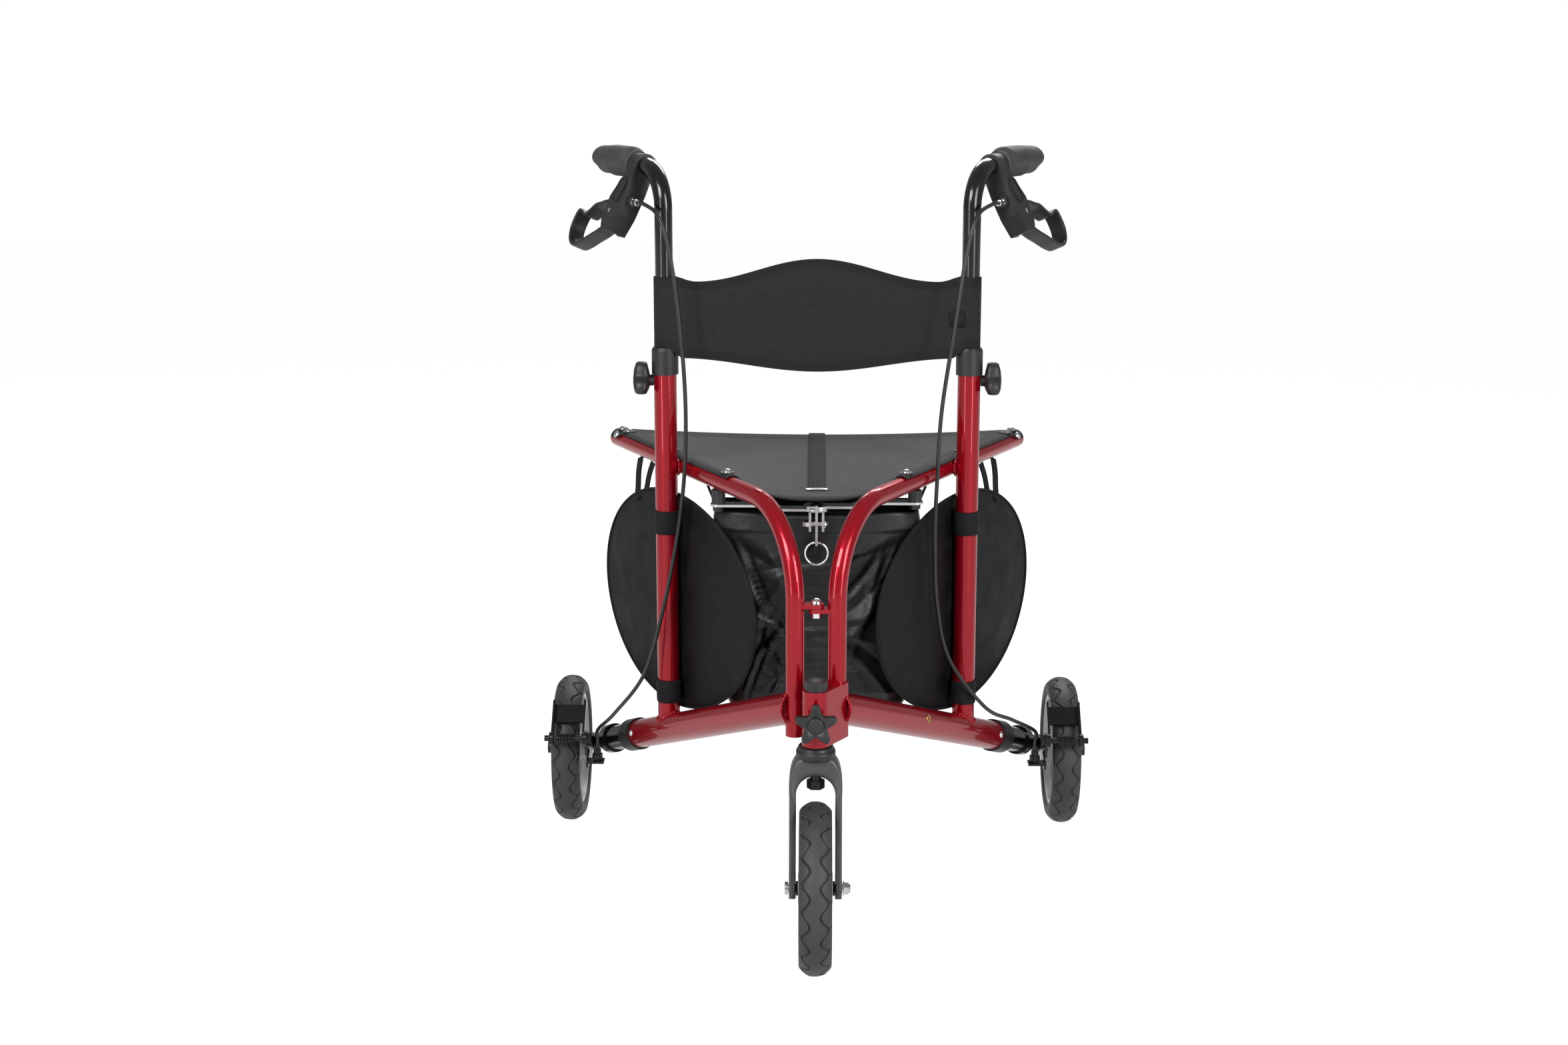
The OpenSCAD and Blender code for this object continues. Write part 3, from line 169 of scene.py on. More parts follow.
def carry(path, profile, across, closed=False):
    """Rings of points along a path: a profile's first measure goes along the path's direction crossed with a
    fixed direction, and its second along that side crossed with the path's direction."""
    path = np.asarray(path, float)
    if closed:
        ahead = unit(np.roll(path, -1, axis=0) - np.roll(path, 1, axis=0))
    else:
        ahead = unit(np.gradient(path, axis=0))
    side = unit(np.cross(ahead, across))
    rise = np.cross(side, ahead)
    return path[:, None] + profile[..., :1] * side[:, None] + profile[..., 1:] * rise[:, None]


def run_along(path):
    """The distance of each point of a path from its first point."""
    return np.concatenate([[0], np.cumsum(np.linalg.norm(np.diff(path, axis=0), axis=1))])


def face_out(mesh):
    """Turns a closed mesh's faces outwards."""
    shape = bmesh.new()
    shape.from_mesh(mesh)
    bmesh.ops.recalc_face_normals(shape, faces=shape.faces)
    shape.to_mesh(mesh)
    shape.free()


def cells_of(index):
    """The four corners of each cell in a grid of point numbers."""
    low, high = index[..., :-1, :], index[..., 1:, :]
    return grid_of(low[..., :-1], low[..., 1:], high[..., 1:], high[..., :-1]).reshape(-1, 4).tolist()


def skin(name, points, uv=None, rows_close=False, cols_close=False, caps=False, outward=True):
    """A mesh piece over a grid of points, one quad a cell. A closing direction joins its last line to its
    first, caps put a flat face on the first and last rows, and outward turns a closed skin's faces out."""
    rows, cols = points.shape[:2]
    index = np.arange(rows * cols).reshape(rows, cols)
    ends = [index[0, ::-1].tolist(), index[-1].tolist()] if caps else []
    if rows_close:
        index = np.vstack([index, index[:1]])
    if cols_close:
        index = np.hstack([index, index[:, :1]])
    mesh = bpy.data.meshes.new(name)
    mesh.from_pydata(points.reshape(-1, 3).tolist(), [], cells_of(index) + ends)
    if outward:
        face_out(mesh)
    if uv is not None:
        corner = np.zeros(len(mesh.loops), np.int32)
        mesh.loops.foreach_get("vertex_index", corner)
        layer = mesh.uv_layers.new(name="cloth")
        layer.data.foreach_set("uv", uv.reshape(-1, 2)[corner].astype(np.float32).ravel())
    mesh.shade_smooth()
    piece = bpy.data.objects.new(name, mesh)
    scene.collection.objects.link(piece)
    return piece


def fit(name, points, finish, body=None, stands_for=None, ring=False, uv=None):
    """A closed piece in its finish: a bar with capped ends, or a ring whose rows close too. It may stand for
    a solid of the part, and it rides on a body."""
    piece = skin(name, points, uv, rows_close=ring, cols_close=True, caps=not ring)
    piece.data.materials.append(finish)
    if stands_for:
        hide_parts(stands_for)
    if body:
        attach(piece, body)
    return piece


def new_group(name, inputs, outputs):
    """An empty shader group with named sockets, and the sockets of its two end nodes."""
    group = bpy.data.node_groups.new(name, "ShaderNodeTree")
    for way, sockets in (("INPUT", inputs), ("OUTPUT", outputs)):
        for socket, kind in sockets.items():
            group.interface.new_socket(name=socket, in_out=way, socket_type="NodeSocket" + kind)
    return group, group.nodes.new("NodeGroupInput").outputs, group.nodes.new("NodeGroupOutput").inputs


def noise(tree, place, scale, detail=2.0):
    """A noise of a scale and a detail."""
    return add_node(tree, "TexNoise", {"Vector": place, "Scale": scale, "Detail": detail}).outputs[0]


def grain_group():
    """Fine grain and slow patches: one noise at the given scale, and one at a fortieth of it."""
    group, given, result = new_group(
        "moulded_grain", {"Vector": "Vector", "Scale": "Float"}, {"Height": "Float", "Patches": "Float"}
    )
    slow = reckon(group, "MULTIPLY", given["Scale"], 0.025)
    group.links.new(noise(group, given["Vector"], given["Scale"], 3.0), result["Height"])
    group.links.new(noise(group, given["Vector"], slow), result["Patches"])
    return group


moulded_grain = grain_group()


def blend_colours(tree, share, first, last, low=0.3, high=0.7):
    """A colour that goes from first to last as a share goes from low to high."""
    scale = add_node(tree, "ValToRGB", {"Fac": share})
    for point, place, colour in zip(scale.color_ramp.elements, (low, high), (first, last)):
        point.position = place
        point.color = (*colour, 1)
    return scale.outputs[0]


def new_finish(name, fixed=(), space="Object"):
    """A material whose fixed values stand on its shader's own sockets, and what its nodes start from: the
    tree, the shader's sockets and the place of a point."""
    finish = bpy.data.materials.new(name)
    finish.use_nodes = True
    tree = finish.node_tree
    shader = tree.nodes["Principled BSDF"].inputs
    for socket, value in dict(fixed).items():
        shader[socket].default_value = value
    return finish, tree, shader, add_node(tree, "TexCoord").outputs[space]


def set_rough(tree, shader, share, rough, low=0.0, high=1.0):
    """Roughness that goes from its first value to its second as a share goes from low to high."""
    given = {"Value": share, "From Min": low, "From Max": high, "To Min": rough[0], "To Max": rough[1]}
    tree.links.new(add_node(tree, "MapRange", given).outputs[0], shader["Roughness"])


def set_bump(tree, shader, height, strength, depth):
    """Relief from a height, whose full step is the depth in metres."""
    given = {"Height": height, "Strength": strength, "Distance": depth}
    tree.links.new(add_node(tree, "Bump", given).outputs[0], shader["Normal"])


def grained_finish(name, first, last, rough, scale, depth, fixed=()):
    """A finish with fine grain in its height and slow patches in its colour and roughness."""
    finish, tree, shader, place = new_finish(name, fixed)
    grain = add_node(tree, "Group", {"Vector": place, "Scale": scale}, node_tree=moulded_grain)
    patches = grain.outputs["Patches"]
    tree.links.new(blend_colours(tree, patches, first, last), shader["Base Color"])
    set_rough(tree, shader, patches, rough, 0.3, 0.7)
    set_bump(tree, shader, grain.outputs["Height"], 0.5, depth)
    return finish


sheath = grained_finish(
    "cable_sheath", (0.012, 0.012, 0.013), (0.02, 0.02, 0.021), (0.28, 0.4), 900, 0.00004
)
cable_d = 0.005
cable_top = [(224.1, 101.7, 861.2), (216.1, 86.7, 861.2)]
cable_foot = [(294, 168, 139.2), (294, 168, 122.2)]
cable_runs = {
    "right": [
        (194, 48, 848), (181, 36, 800), (166, 22, 704), (153, 16, 612), (149, 16, 530), (147, 16, 450),
        (151, 20, 370), (168, 32, 294), (218, 72, 218), (258, 116.5, 186.5), (292, 158, 158),
    ],
    "left": [
        (194, 48, 848), (180, 36, 802), (169, 33, 720), (163, 38, 625), (165, 43, 535), (175, 45, 450),
        (194, 50, 355), (220, 60, 265), (264, 108, 196), (291, 157, 158),
    ],
}
for side, flip in sides:
    route = np.array(cable_top + cable_runs[side] + cable_foot) / 1000 * flip
    path = smooth_route(route, 14)
    cable_grid = carry(path, oval(14, cable_d, cable_d), (0, 1, 0))
    cable = fit(side + "_brake_cable", cable_grid, sheath, stands_for=side + "_cable")
    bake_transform(cable)

# Frame: aluminium tubes in two welded halves, powder coated in a candy red with fine metal flake under a
# clear coat. The head that holds the caster stem is an extrusion on the right half's post, coated alike.


def dress(names, finish):
    """Gives solids of the part a finish."""
    for name in names:
        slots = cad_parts[name].data.materials
        slots.clear()
        slots.append(finish)


def on_both(*names):
    """The names of a left and right pair of solids, for each kind."""
    return [side + "_" + name for name in names for side, flip in sides]


def candy_finish():
    """Red metal flake under clear coat: cells of flake in the colour, and slow ripples in the coat."""
    fixed = {"Metallic": 0.45, "Coat Weight": 0.6, "Coat Roughness": 0.02, "Specular IOR Level": 0.1}
    finish, tree, shader, place = new_finish("candy_red", fixed)
    flake = add_node(tree, "TexVoronoi", {"Vector": place, "Scale": 3800.0})
    level = add_node(tree, "RGBToBW", {"Color": flake.outputs["Color"]}).outputs[0]
    red = blend_colours(tree, level, (0.26, 0.001, 0.007), (0.43, 0.003, 0.016), 0.0, 1.0)
    tree.links.new(red, shader["Base Color"])
    grain = add_node(tree, "Group", {"Vector": place, "Scale": 160}, node_tree=moulded_grain)
    set_rough(tree, shader, grain.outputs["Patches"], (0.24, 0.36))
    set_bump(tree, shader, grain.outputs["Height"], 0.12, 0.0002)
    return finish


candy_red = candy_finish()
dress(on_both("rail_tube", "bottom_tube", "upright") + ["head_tube"], candy_red)

# Weld beads: rippled seams round the foot of each upright, round each bottom tube at its post, and where the
# seat rail passes the upright. A thin plate closes the bottom tube's front end. All are coated as the frame.


def saddle(foot, along, radius, axis_point, axis, thick):
    """The line where a tube stands on a thicker one: round the tube's wall, the length along it at which the
    distance from the thick tube's axis is the thick tube's radius."""
    spin = full_turn(160)[:, None]
    first = unit(np.cross(along, axis))
    wall = foot + radius * (np.cos(spin) * first + np.sin(spin) * np.cross(along, first))
    away = wall - axis_point
    away = away - (away @ axis)[:, None] * axis
    climb = along - (along @ axis) * axis
    a = climb @ climb
    b = away @ climb
    c = (away**2).sum(axis=1) - thick**2
    return wall + ((np.sqrt(np.maximum(b * b - a * c, 0)) - b) / a)[:, None] * along


def weld_bead(name, path, width, ripples, body):
    """A seam along a closed line: a round section whose size swells and shrinks as a sine round the line."""
    step = full_turn(len(path))[:, None, None]
    section = oval(10, width, width) * (1 + 0.2 * np.sin(ripples * step))
    fit(name, carry(path, section, (0.31, 0.22, 0.92), closed=True), candy_red, body, ring=True)


def round_rays(axis, count):
    """Directions square to an axis, spread evenly round it."""
    first = unit(np.cross(axis, (0.3, 0.5, 0.8)))
    spin = full_turn(count)[None, :, None]
    return np.cos(spin) * first + np.sin(spin) * np.cross(axis, first)


def dome_points(centre, outward, width, height, rim):
    """A round head on a surface: half an oval turned about its axis, on a thin flat rim."""
    outward = unit(np.asarray(outward, float))
    lift = np.radians(np.linspace(0, 88, 9))
    out = np.concatenate([[0.62, 0.62], 0.5 * np.cos(lift)])[:, None, None] * width
    up = np.concatenate([[0, rim], rim + height * np.sin(lift)])[:, None, None]
    return np.asarray(centre) + out * round_rays(outward, 28) + up * outward


upward = np.array((0.0, 0, 1))
post_x, post_y, rail_z = 24.5, -189, 530
post_start = np.array((post_x, post_y, 0)) / 1000
tube_start = np.array((post_x, post_y, 298)) / 1000
rail_start = np.array((post_x, post_y, rail_z)) / 1000
upright_x, upright_y = 0.1904, 0.080
upright_start = np.array((upright_x, upright_y, 0))
rail_turn, tube_turn, tube_slope = np.radians((27, 31.67, 19.8))
rail_way = np.array((np.sin(rail_turn), np.cos(rail_turn), 0))
rail_out = np.array((np.cos(rail_turn), -np.sin(rail_turn), 0))
tube_level = np.array((np.sin(tube_turn), np.cos(tube_turn), 0))
tube_way = tube_level * np.cos(tube_slope) - upward * np.sin(tube_slope)
seam_spin = full_turn(90)[:, None]
seam_centre = rail_start + 0.315 * rail_way + 0.01125 * rail_out
rail_seam = seam_centre + 0.0075 * np.cos(seam_spin) * rail_way + 0.0085 * np.sin(seam_spin) * upward
upright_r, tube_r, tube_end_r, post_r = 0.0147, 0.0195, 0.0187, 0.0111
for side, flip in sides:
    body = side + "_frame"
    start, way = tube_start * flip, tube_way * flip
    foot_line = saddle(upright_start * flip, upward, upright_r, start, way, tube_r)
    weld_bead(side + "_upright_weld", foot_line, 0.0046, 26, body)
    post_line = saddle(start, way, tube_end_r, post_start * flip, upward, post_r)
    weld_bead(side + "_post_weld", post_line, 0.0042, 30, body)
    plate_grid = dome_points(start + 0.004 * way, -way, 0.0298, 0.002, 0.001)
    fit(side + "_tube_end_plate", plate_grid, candy_red, body)
    weld_bead(side + "_rail_weld", rail_seam * flip, 0.0052, 15, body)

# Caster: a moulded fork on a steel stem that turns in the head's bushes, with a plastic cap on top.
# The star knob in front of the head presses on the stem and stiffens the steering.
plastic = grained_finish(
    "black_plastic", (0.013, 0.013, 0.014), (0.022, 0.022, 0.023), (0.38, 0.5), 1500, 0.00005
)
fork_plastic = grained_finish(
    "fork_plastic", (0.05, 0.051, 0.054), (0.08, 0.081, 0.085), (0.34, 0.46), 1200, 0.00006
)
black_steel = grained_finish(
    "black_steel", (0.008, 0.008, 0.009), (0.014, 0.014, 0.015), (0.22, 0.34), 700, 0.00004,
    {"Metallic": 0.4},
)
dress(["stem_cap", "stem_bushes"], plastic)
dress(["stem_bolt"], black_steel)
stem_y = -218


def round_power(value, power):
    """The power of a value's size with the value's sign, which squares off a circle's corners."""
    return np.sign(value) * np.abs(value) ** power


def fork_points():
    """A fork as a bent bar. From one axle eye to the other, its inner line goes up a leg, over a round arch
    and down, and its outer line goes over square shoulders, a power of cosine and sine. Between the lines
    each section is a rounded rectangle, whose depth falls from crown to eye and closes there as a circle."""
    eye_z, eye_r, arch_z, crown_z = 100, 12.5, 203, 227.6
    leg_in, leg_wide, crown_half, eye_half, rake = 22.7, 30.8, 16.6, 12.5, 38
    eye_climb = eye_z - eye_r + eye_r * (1 - np.cos(np.linspace(0.06, 1.57, 10)))
    drop = np.concatenate([eye_climb, np.linspace(103, arch_z, 30)])
    spin = np.linspace(0, np.pi, 61)[1:-1]
    leg = np.full_like(drop, 1)
    arch_x, arch_up = np.cos(spin), np.sin(spin)
    inner_x = np.concatenate([leg_in * leg, 22.9 * arch_x, -leg_in * leg])
    inner_z = np.concatenate([drop, arch_z + 23.5 * arch_up, drop[::-1]])
    outer_x = np.concatenate([leg_wide * leg, 31.2 * round_power(arch_x, 0.55), -leg_wide * leg])
    outer_z = np.concatenate([drop, arch_z + 49.4 * arch_up**0.62, drop[::-1]])
    height = np.minimum((inner_z + outer_z) / 2, crown_z)
    share = np.clip((crown_z - height) / (crown_z - eye_z), 0, 1)
    eye = np.sqrt(np.clip(1 - ((eye_z - height) / eye_r).clip(0) ** 2, 0.002, 1))
    half = (crown_half + (eye_half - crown_half) * share) * np.where(height < eye_z, eye, 1)
    corner = full_turn(44)
    out = round_power(np.cos(corner), 0.45)
    fore = round_power(np.sin(corner), 0.45)
    middle = grid_of(inner_x + outer_x, inner_z + outer_z)[:, None] / 2
    thick = grid_of(outer_x - inner_x, outer_z - inner_z)[:, None] / 2
    flat = middle + thick * out[None, :, None]
    y = (stem_y - rake * share)[:, None] + half[:, None] * fore
    return grid_of(flat[..., 0], y, flat[..., 1]) / 1000


def turned(centre, axis, profile, count):
    """A turned piece: pairs of distance from the axis and place along it, carried round the axis."""
    axis = np.asarray(axis, float)
    away, place = np.asarray(profile, float).T[:, :, None, None]
    return np.asarray(centre) + (away * round_rays(axis, count) + place * axis) / 1000


fit("moulded_fork", fork_points(), fork_plastic, "fork", stands_for="fork")
collar_profile = [
    (8, 247), (21, 247), (22.4, 247.6), (23, 249), (23, 255), (22.4, 256.6), (20.9, 257.2), (20.5, 258),
    (20.5, 260.4), (19.6, 261.4), (8, 261.5),
]
fit("fork_collar", turned((0, stem_y / 1000, 0), upward, collar_profile, 56), plastic, "fork")


def star_points():
    """A five-armed knob in rings. Its outline is the lines from a hub circle to a small circle at each arm's
    tip, with the valleys rounded. Each ring is a share of the outline, a circle, an inset and a height: they
    go from the neck over bevelled edges and turn to circles for the cap."""
    hub, tip, reach, valley = 10.5, 4.25, 20.75, 13.6
    face_y, screw_z = -240.4, 295
    spin = full_turn(360)
    arm = 2 * np.pi / 5
    off = np.abs((spin + arm / 2) % arm - arm / 2)
    lean = np.arccos((hub - tip) / reach)
    flank = ((hub / np.cos(lean - off)) ** 20 + valley**20) ** (1 / 20)
    round_tip = reach * np.cos(off) + np.sqrt(np.clip(tip**2 - (reach * np.sin(off)) ** 2, 0, None))
    touch = np.arctan2(tip * np.sin(lean), reach + tip * np.cos(lean))
    outline = np.where(off < touch, round_tip, flank)
    rings = np.array([
        (0, 4, 0, 0), (0, 8.5, 0, 0), (0, 8.5, 0, 4), (1, 0, 1.4, 4), (1, 0, 0.4, 4.5), (1, 0, 0, 5.6),
        (1, 0, 0, 11.4), (1, 0, 0.35, 12.7), (1, 0, 1.1, 13.5), (1, 0, 2.2, 13.9), (0, 10, 0, 14),
        (0, 9.7, 0, 13.3), (0, 9.2, 0, 13.3), (0, 9, 0, 14.5), (0, 8.3, 0, 15), (0, 4, 0, 15),
        (0, 0.6, 0, 15),
    ])
    star, circle, inset, height = rings.T[:, :, None]
    away = star * (outline - inset) + (1 - star) * circle
    x, z = away * np.sin(spin), screw_z + away * np.cos(spin)
    return grid_of(x, face_y - height, z) / 1000


fit("moulded_star", star_points(), plastic, "front_knob", stands_for="star_knob")

# Wheels: soft grey-black tyres moulded on silver five-spoke rims, each on a steel axle bolt.
# The tread is smooth in the middle, with a wavy groove and short side grooves on both shoulders.


def paint_over(finish, share, colour):
    """Lays a second colour over a finish's own where a share is one."""
    tree = finish.node_tree
    base = tree.nodes["Principled BSDF"].inputs["Base Color"]
    own = base.links[0].from_socket
    both = add_node(tree, "MixRGB", {"Fac": share, "Color1": own, "Color2": (*colour, 1)})
    tree.links.new(both.outputs[0], base)


tyre_rubber = grained_finish(
    "tyre_rubber", (0.034, 0.035, 0.036), (0.053, 0.054, 0.054), (0.5, 0.64), 700, 0.00012,
    {"Specular IOR Level": 0.45},
)
# The grooves are painted near black over the rubber's own colour: painted shade in the recesses, read from
# the groove attribute.
groove_painted_shade = add_node(tyre_rubber.node_tree, "Attribute", attribute_name="groove").outputs["Fac"]
paint_over(tyre_rubber, groove_painted_shade, (0.008, 0.008, 0.008))


def mark(piece, name, values):
    """Writes one number for each of a piece's points, as an attribute that its finish reads."""
    layer = piece.data.attributes.new(name, "FLOAT", "POINT")
    layer.data.foreach_set("value", np.asarray(values, np.float32).ravel())


def tyre_points(centre):
    """A ring section carried round the axle. On the shoulders its radius drops by a bell curve of the
    distance from a sine wave round the wheel, with a low lip beside it, and by another along a slanted line
    to the wall."""
    tread_r, tread_edge, groove_deep, lip_high = 22, 87.5, 2.0, 0.4
    waves, wave_x, wave_swing = 19, 10.6, 4.3
    lean = np.radians(np.linspace(-58.5, 58.5, 79))
    wall_x = np.array((19, 19, 18.9, 18.4, 17.2))
    wall_r = np.array((88, 84, 80.5, 77.6, 76.4))
    x = np.concatenate([tread_r * np.sin(lean), wall_x, np.linspace(12, -12, 4), -wall_x[::-1]])
    r = np.concatenate([78 + tread_r * np.cos(lean), wall_r, np.full(4, 76.2), wall_r[::-1]])
    spin = full_turn(608)[:, None]
    shoulder = np.abs(x)
    wave = waves * spin + np.where(x > 0, 2.2, 0)
    beside = shoulder - wave_x - wave_swing * np.sin(wave)
    groove = np.exp(-((beside / 1.1) ** 2))
    lip = np.exp(-(((beside + 2.4) / 0.9) ** 2))
    slant = np.sin((wave - 0.5 * np.pi + 0.12 * (shoulder - 13)) / 2)
    branch = np.exp(-((slant / 0.1) ** 2)) * np.clip((shoulder - 12.5) / 2, 0, 1)
    cut = np.maximum(groove, 0.9 * branch) * (r > tread_edge)
    reach = (r + (lip_high * lip * (1 - cut) - groove_deep * cut) * (r > tread_edge)) / 1000
    return centre + grid_of(x / 1000, reach * np.cos(spin), reach * np.sin(spin)), cut


wheel_centres = {"front": (0, -0.256, 0.1), "right": (0.338, 0.256, 0.1), "left": (-0.338, 0.256, 0.1)}
for wheel, centre in wheel_centres.items():
    tread_grid, tread_groove_shade = tyre_points(np.array(centre))
    tread = fit(wheel + "_tread", tread_grid, tyre_rubber, wheel + "_wheel", wheel + "_tyre", ring=True)
    # The share cut at each point is written as the groove attribute, which paints the shade in the grooves.
    mark(tread, "groove", tread_groove_shade)
silver_rim = grained_finish(
    "silver_rim", (0.5, 0.51, 0.53), (0.62, 0.63, 0.64), (0.32, 0.42), 500, 0.00004, {"Metallic": 0.75}
)
dress(on_both("rim") + ["front_rim"], silver_rim)


def bright_metal(name, first, last, rough, stretch):
    """Plated steel with fine drawn lines: a noise stretched along one way in colour, gloss and height."""
    finish, tree, shader, place = new_finish(name, {"Metallic": 1.0})
    drawn = add_node(tree, "Mapping", {"Vector": place, "Scale": stretch}).outputs[0]
    lines = noise(tree, drawn, 60.0, 4.0)
    tree.links.new(blend_colours(tree, lines, first, last), shader["Base Color"])
    set_rough(tree, shader, lines, rough, 0.3, 0.7)
    set_bump(tree, shader, lines, 0.08, 0.0001)
    return finish


zinc_look = ((0.55, 0.56, 0.58), (0.72, 0.73, 0.74), (0.2, 0.34), (4, 40, 40))
zinc = bright_metal("zinc_plate", *zinc_look)
chrome = bright_metal("chrome", (0.78, 0.79, 0.8), (0.86, 0.86, 0.87), (0.06, 0.14), (30, 30, 8))


def axle_finish():
    """Plated ends of the axle bolt, and black spacers between the fork's legs, by the distance across."""
    leg_face = 0.0228
    finish = bright_metal("front_axle_plate", *zinc_look)
    tree = finish.node_tree
    place = add_node(tree, "TexCoord").outputs["Object"]
    across = add_node(tree, "SeparateXYZ", {"Vector": place}).outputs["X"]
    inside = reckon(tree, "LESS_THAN", reckon(tree, "ABSOLUTE", across), leg_face)
    paint_over(finish, inside, (0.01, 0.01, 0.011))
    return finish


dress(["front_axle"], axle_finish())
dress(on_both("wheel_axle"), plastic)

# Rear legs: gloss black tubes that go into the bottom tubes, each held by a plastic collar and a pop rivet.
# A stamped bracket on the leg carries the brake arm, whose bar presses on the tyre against a coil spring.
gloss_black = grained_finish(
    "gloss_black", (0.003, 0.003, 0.0035), (0.006, 0.006, 0.007), (0.16, 0.24), 60, 0.000004,
    {"Coat Weight": 0.25, "Coat Roughness": 0.05},
)
dress(on_both("rear_leg"), gloss_black)
dress(on_both("collars"), plastic)
dress(on_both("brake_bracket", "brake_arm"), black_steel)


def fit_pair(name, points, finish, body, stands_for=None, ring=False, uv=None):
    """The right piece, and the left one, whose points are the right one's with x turned round."""
    for side, flip in sides:
        solid = stands_for and side + "_" + stands_for
        fit(side + "_" + name, points * np.array(flip), finish, side + "_" + body, solid, ring, uv)


leg_out = unit(np.array((np.cos(tube_turn), -np.sin(tube_turn), 0.15)))
leg_out = unit(leg_out - (leg_out @ tube_way) * tube_way)
rivet_spot = tube_start + 0.414 * tube_way + 0.0189 * leg_out
spring_place = np.array((0.322, 0.15, 0.1472))
spring_long, spring_turns, spring_r, spring_wire = 0.024, 8, 0.0062, 0.0015
wind = np.linspace(0, 2 * np.pi * spring_turns, 240)
coil = grid_of(spring_long * wind / wind[-1], spring_r * np.cos(wind), spring_r * np.sin(wind))
spring_grid = carry(spring_place + coil, oval(8, spring_wire, spring_wire), (1, 0, 0))
fit_pair("pop_rivet", dome_points(rivet_spot, leg_out, 0.007, 0.0022, 0.0006), zinc, "frame")
fit_pair("brake_spring", spring_grid, black_steel, "frame")

# Handles: gloss black tubes with moulded rubber grips, a clamped brake housing and a loop lever on a steel
# pin. A three-lobed knob through each upright holds the handle's height.
dress(on_both("handle_tube"), gloss_black)
lever_plastic = grained_finish(
    "lever_plastic", (0.015, 0.015, 0.016), (0.026, 0.026, 0.028), (0.4, 0.5), 1300, 0.00006,
    {"Specular IOR Level": 0.4},
)
grip_rubber = grained_finish(
    "grip_rubber", (0.036, 0.036, 0.038), (0.056, 0.056, 0.058), (0.55, 0.7), 2200, 0.00016
)
dress(on_both("brake_housing"), lever_plastic)
dress(on_both("brake_fittings"), chrome)
grip_start = (upright_x, upright_y, 0.905)
grip_sine, grip_cosine = 0.46947, 0.88295


def knob_points():
    """A knob turned about the screw's axis. Where it is lobed, a share of the cosine of three times the
    angle is added to its distance from the axis."""
    away = np.array((6.4, 7, 7, 13, 17.6, 18.6, 18.6, 17, 12, 5, 0.6))[:, None]
    place = np.array((0.3, 0.8, 5, 6.5, 8.6, 12, 19, 22.4, 24.8, 25.8, 26))[:, None]
    lobed = np.array((0, 0, 0, 0.3, 1, 1, 1, 1, 0.6, 0.1, 0))[:, None]
    spin = full_turn(90)[None, :]
    reach = away * (1 + 0.27 * lobed * np.cos(3 * spin))
    screw = np.array((upright_x + 0.0143, upright_y, 0.642))
    return screw + grid_of(place, reach * np.sin(spin), reach * np.cos(spin)) / 1000


def brake_place(along, side, up):
    """Points of the brake's own frame, along the grip, across and up, leaned about the grip and turned."""
    lean = np.radians(24)
    across = side * np.cos(lean) + up * np.sin(lean)
    x = along * grip_sine - across * grip_cosine
    y = along * grip_cosine + across * grip_sine
    z = up * np.cos(lean) - side * np.sin(lean)
    return grid_of(x, y, z) / 1000 + grip_start


lever_loop = [
    (1, 0, 0), (6, -14, 0), (26, -20, 0), (50, -23, 0), (74, -26, 0), (94, -25, 0), (107, -15, 0),
    (112, 0, 0), (109, 13, 0), (101, 24, 0), (91, 21, 0), (79, 14, 0), (66, 17, 0), (53, 21, 0), (38, 20, 0),
    (22, 19, 0), (6, 14, 0), (1, 0, 0),
]
lever_line = smooth_route(lever_loop, 10)[:-1]
lever_droop = np.radians(17)
pin_along, pin_up = 80, -66
lever_along = pin_along + lever_line[:, 0] * np.cos(lever_droop) + lever_line[:, 1] * np.sin(lever_droop)
lever_up = pin_up + lever_line[:, 1] * np.cos(lever_droop) - lever_line[:, 0] * np.sin(lever_droop)
lever_across = brake_place(0, 1, 0) - brake_place(0, 0, 0)
band_turn = full_turn(32)
band_side = 0.0024 * round_power(np.cos(band_turn), 0.4)
band_face = 0.0104 * round_power(np.sin(band_turn), 0.4)
lever_section = grid_of(band_side, band_face)
boss_profile = [(3.2, -10), (7.6, -10), (8.5, -9.2), (8.5, 9.2), (7.6, 10), (3.2, 10)]
loop_grid = carry(brake_place(lever_along, 0, lever_up), lever_section, lever_across, closed=True)
boss_grid = turned(brake_place(pin_along, 0, pin_up), unit(lever_across), boss_profile, 36)
fit_pair("lobed_knob", knob_points(), plastic, "knob", "height_knob")
fit_pair("loop_lever", loop_grid, lever_plastic, "lever", "brake_lever", ring=True)
fit_pair("lever_boss", boss_grid, lever_plastic, "lever")


def step_up(value, low, high):
    """A smooth rise from nought to one between two values: three squares less two cubes."""
    share = np.clip((value - low) / (high - low), 0, 1)
    return share * share * (3 - 2 * share)


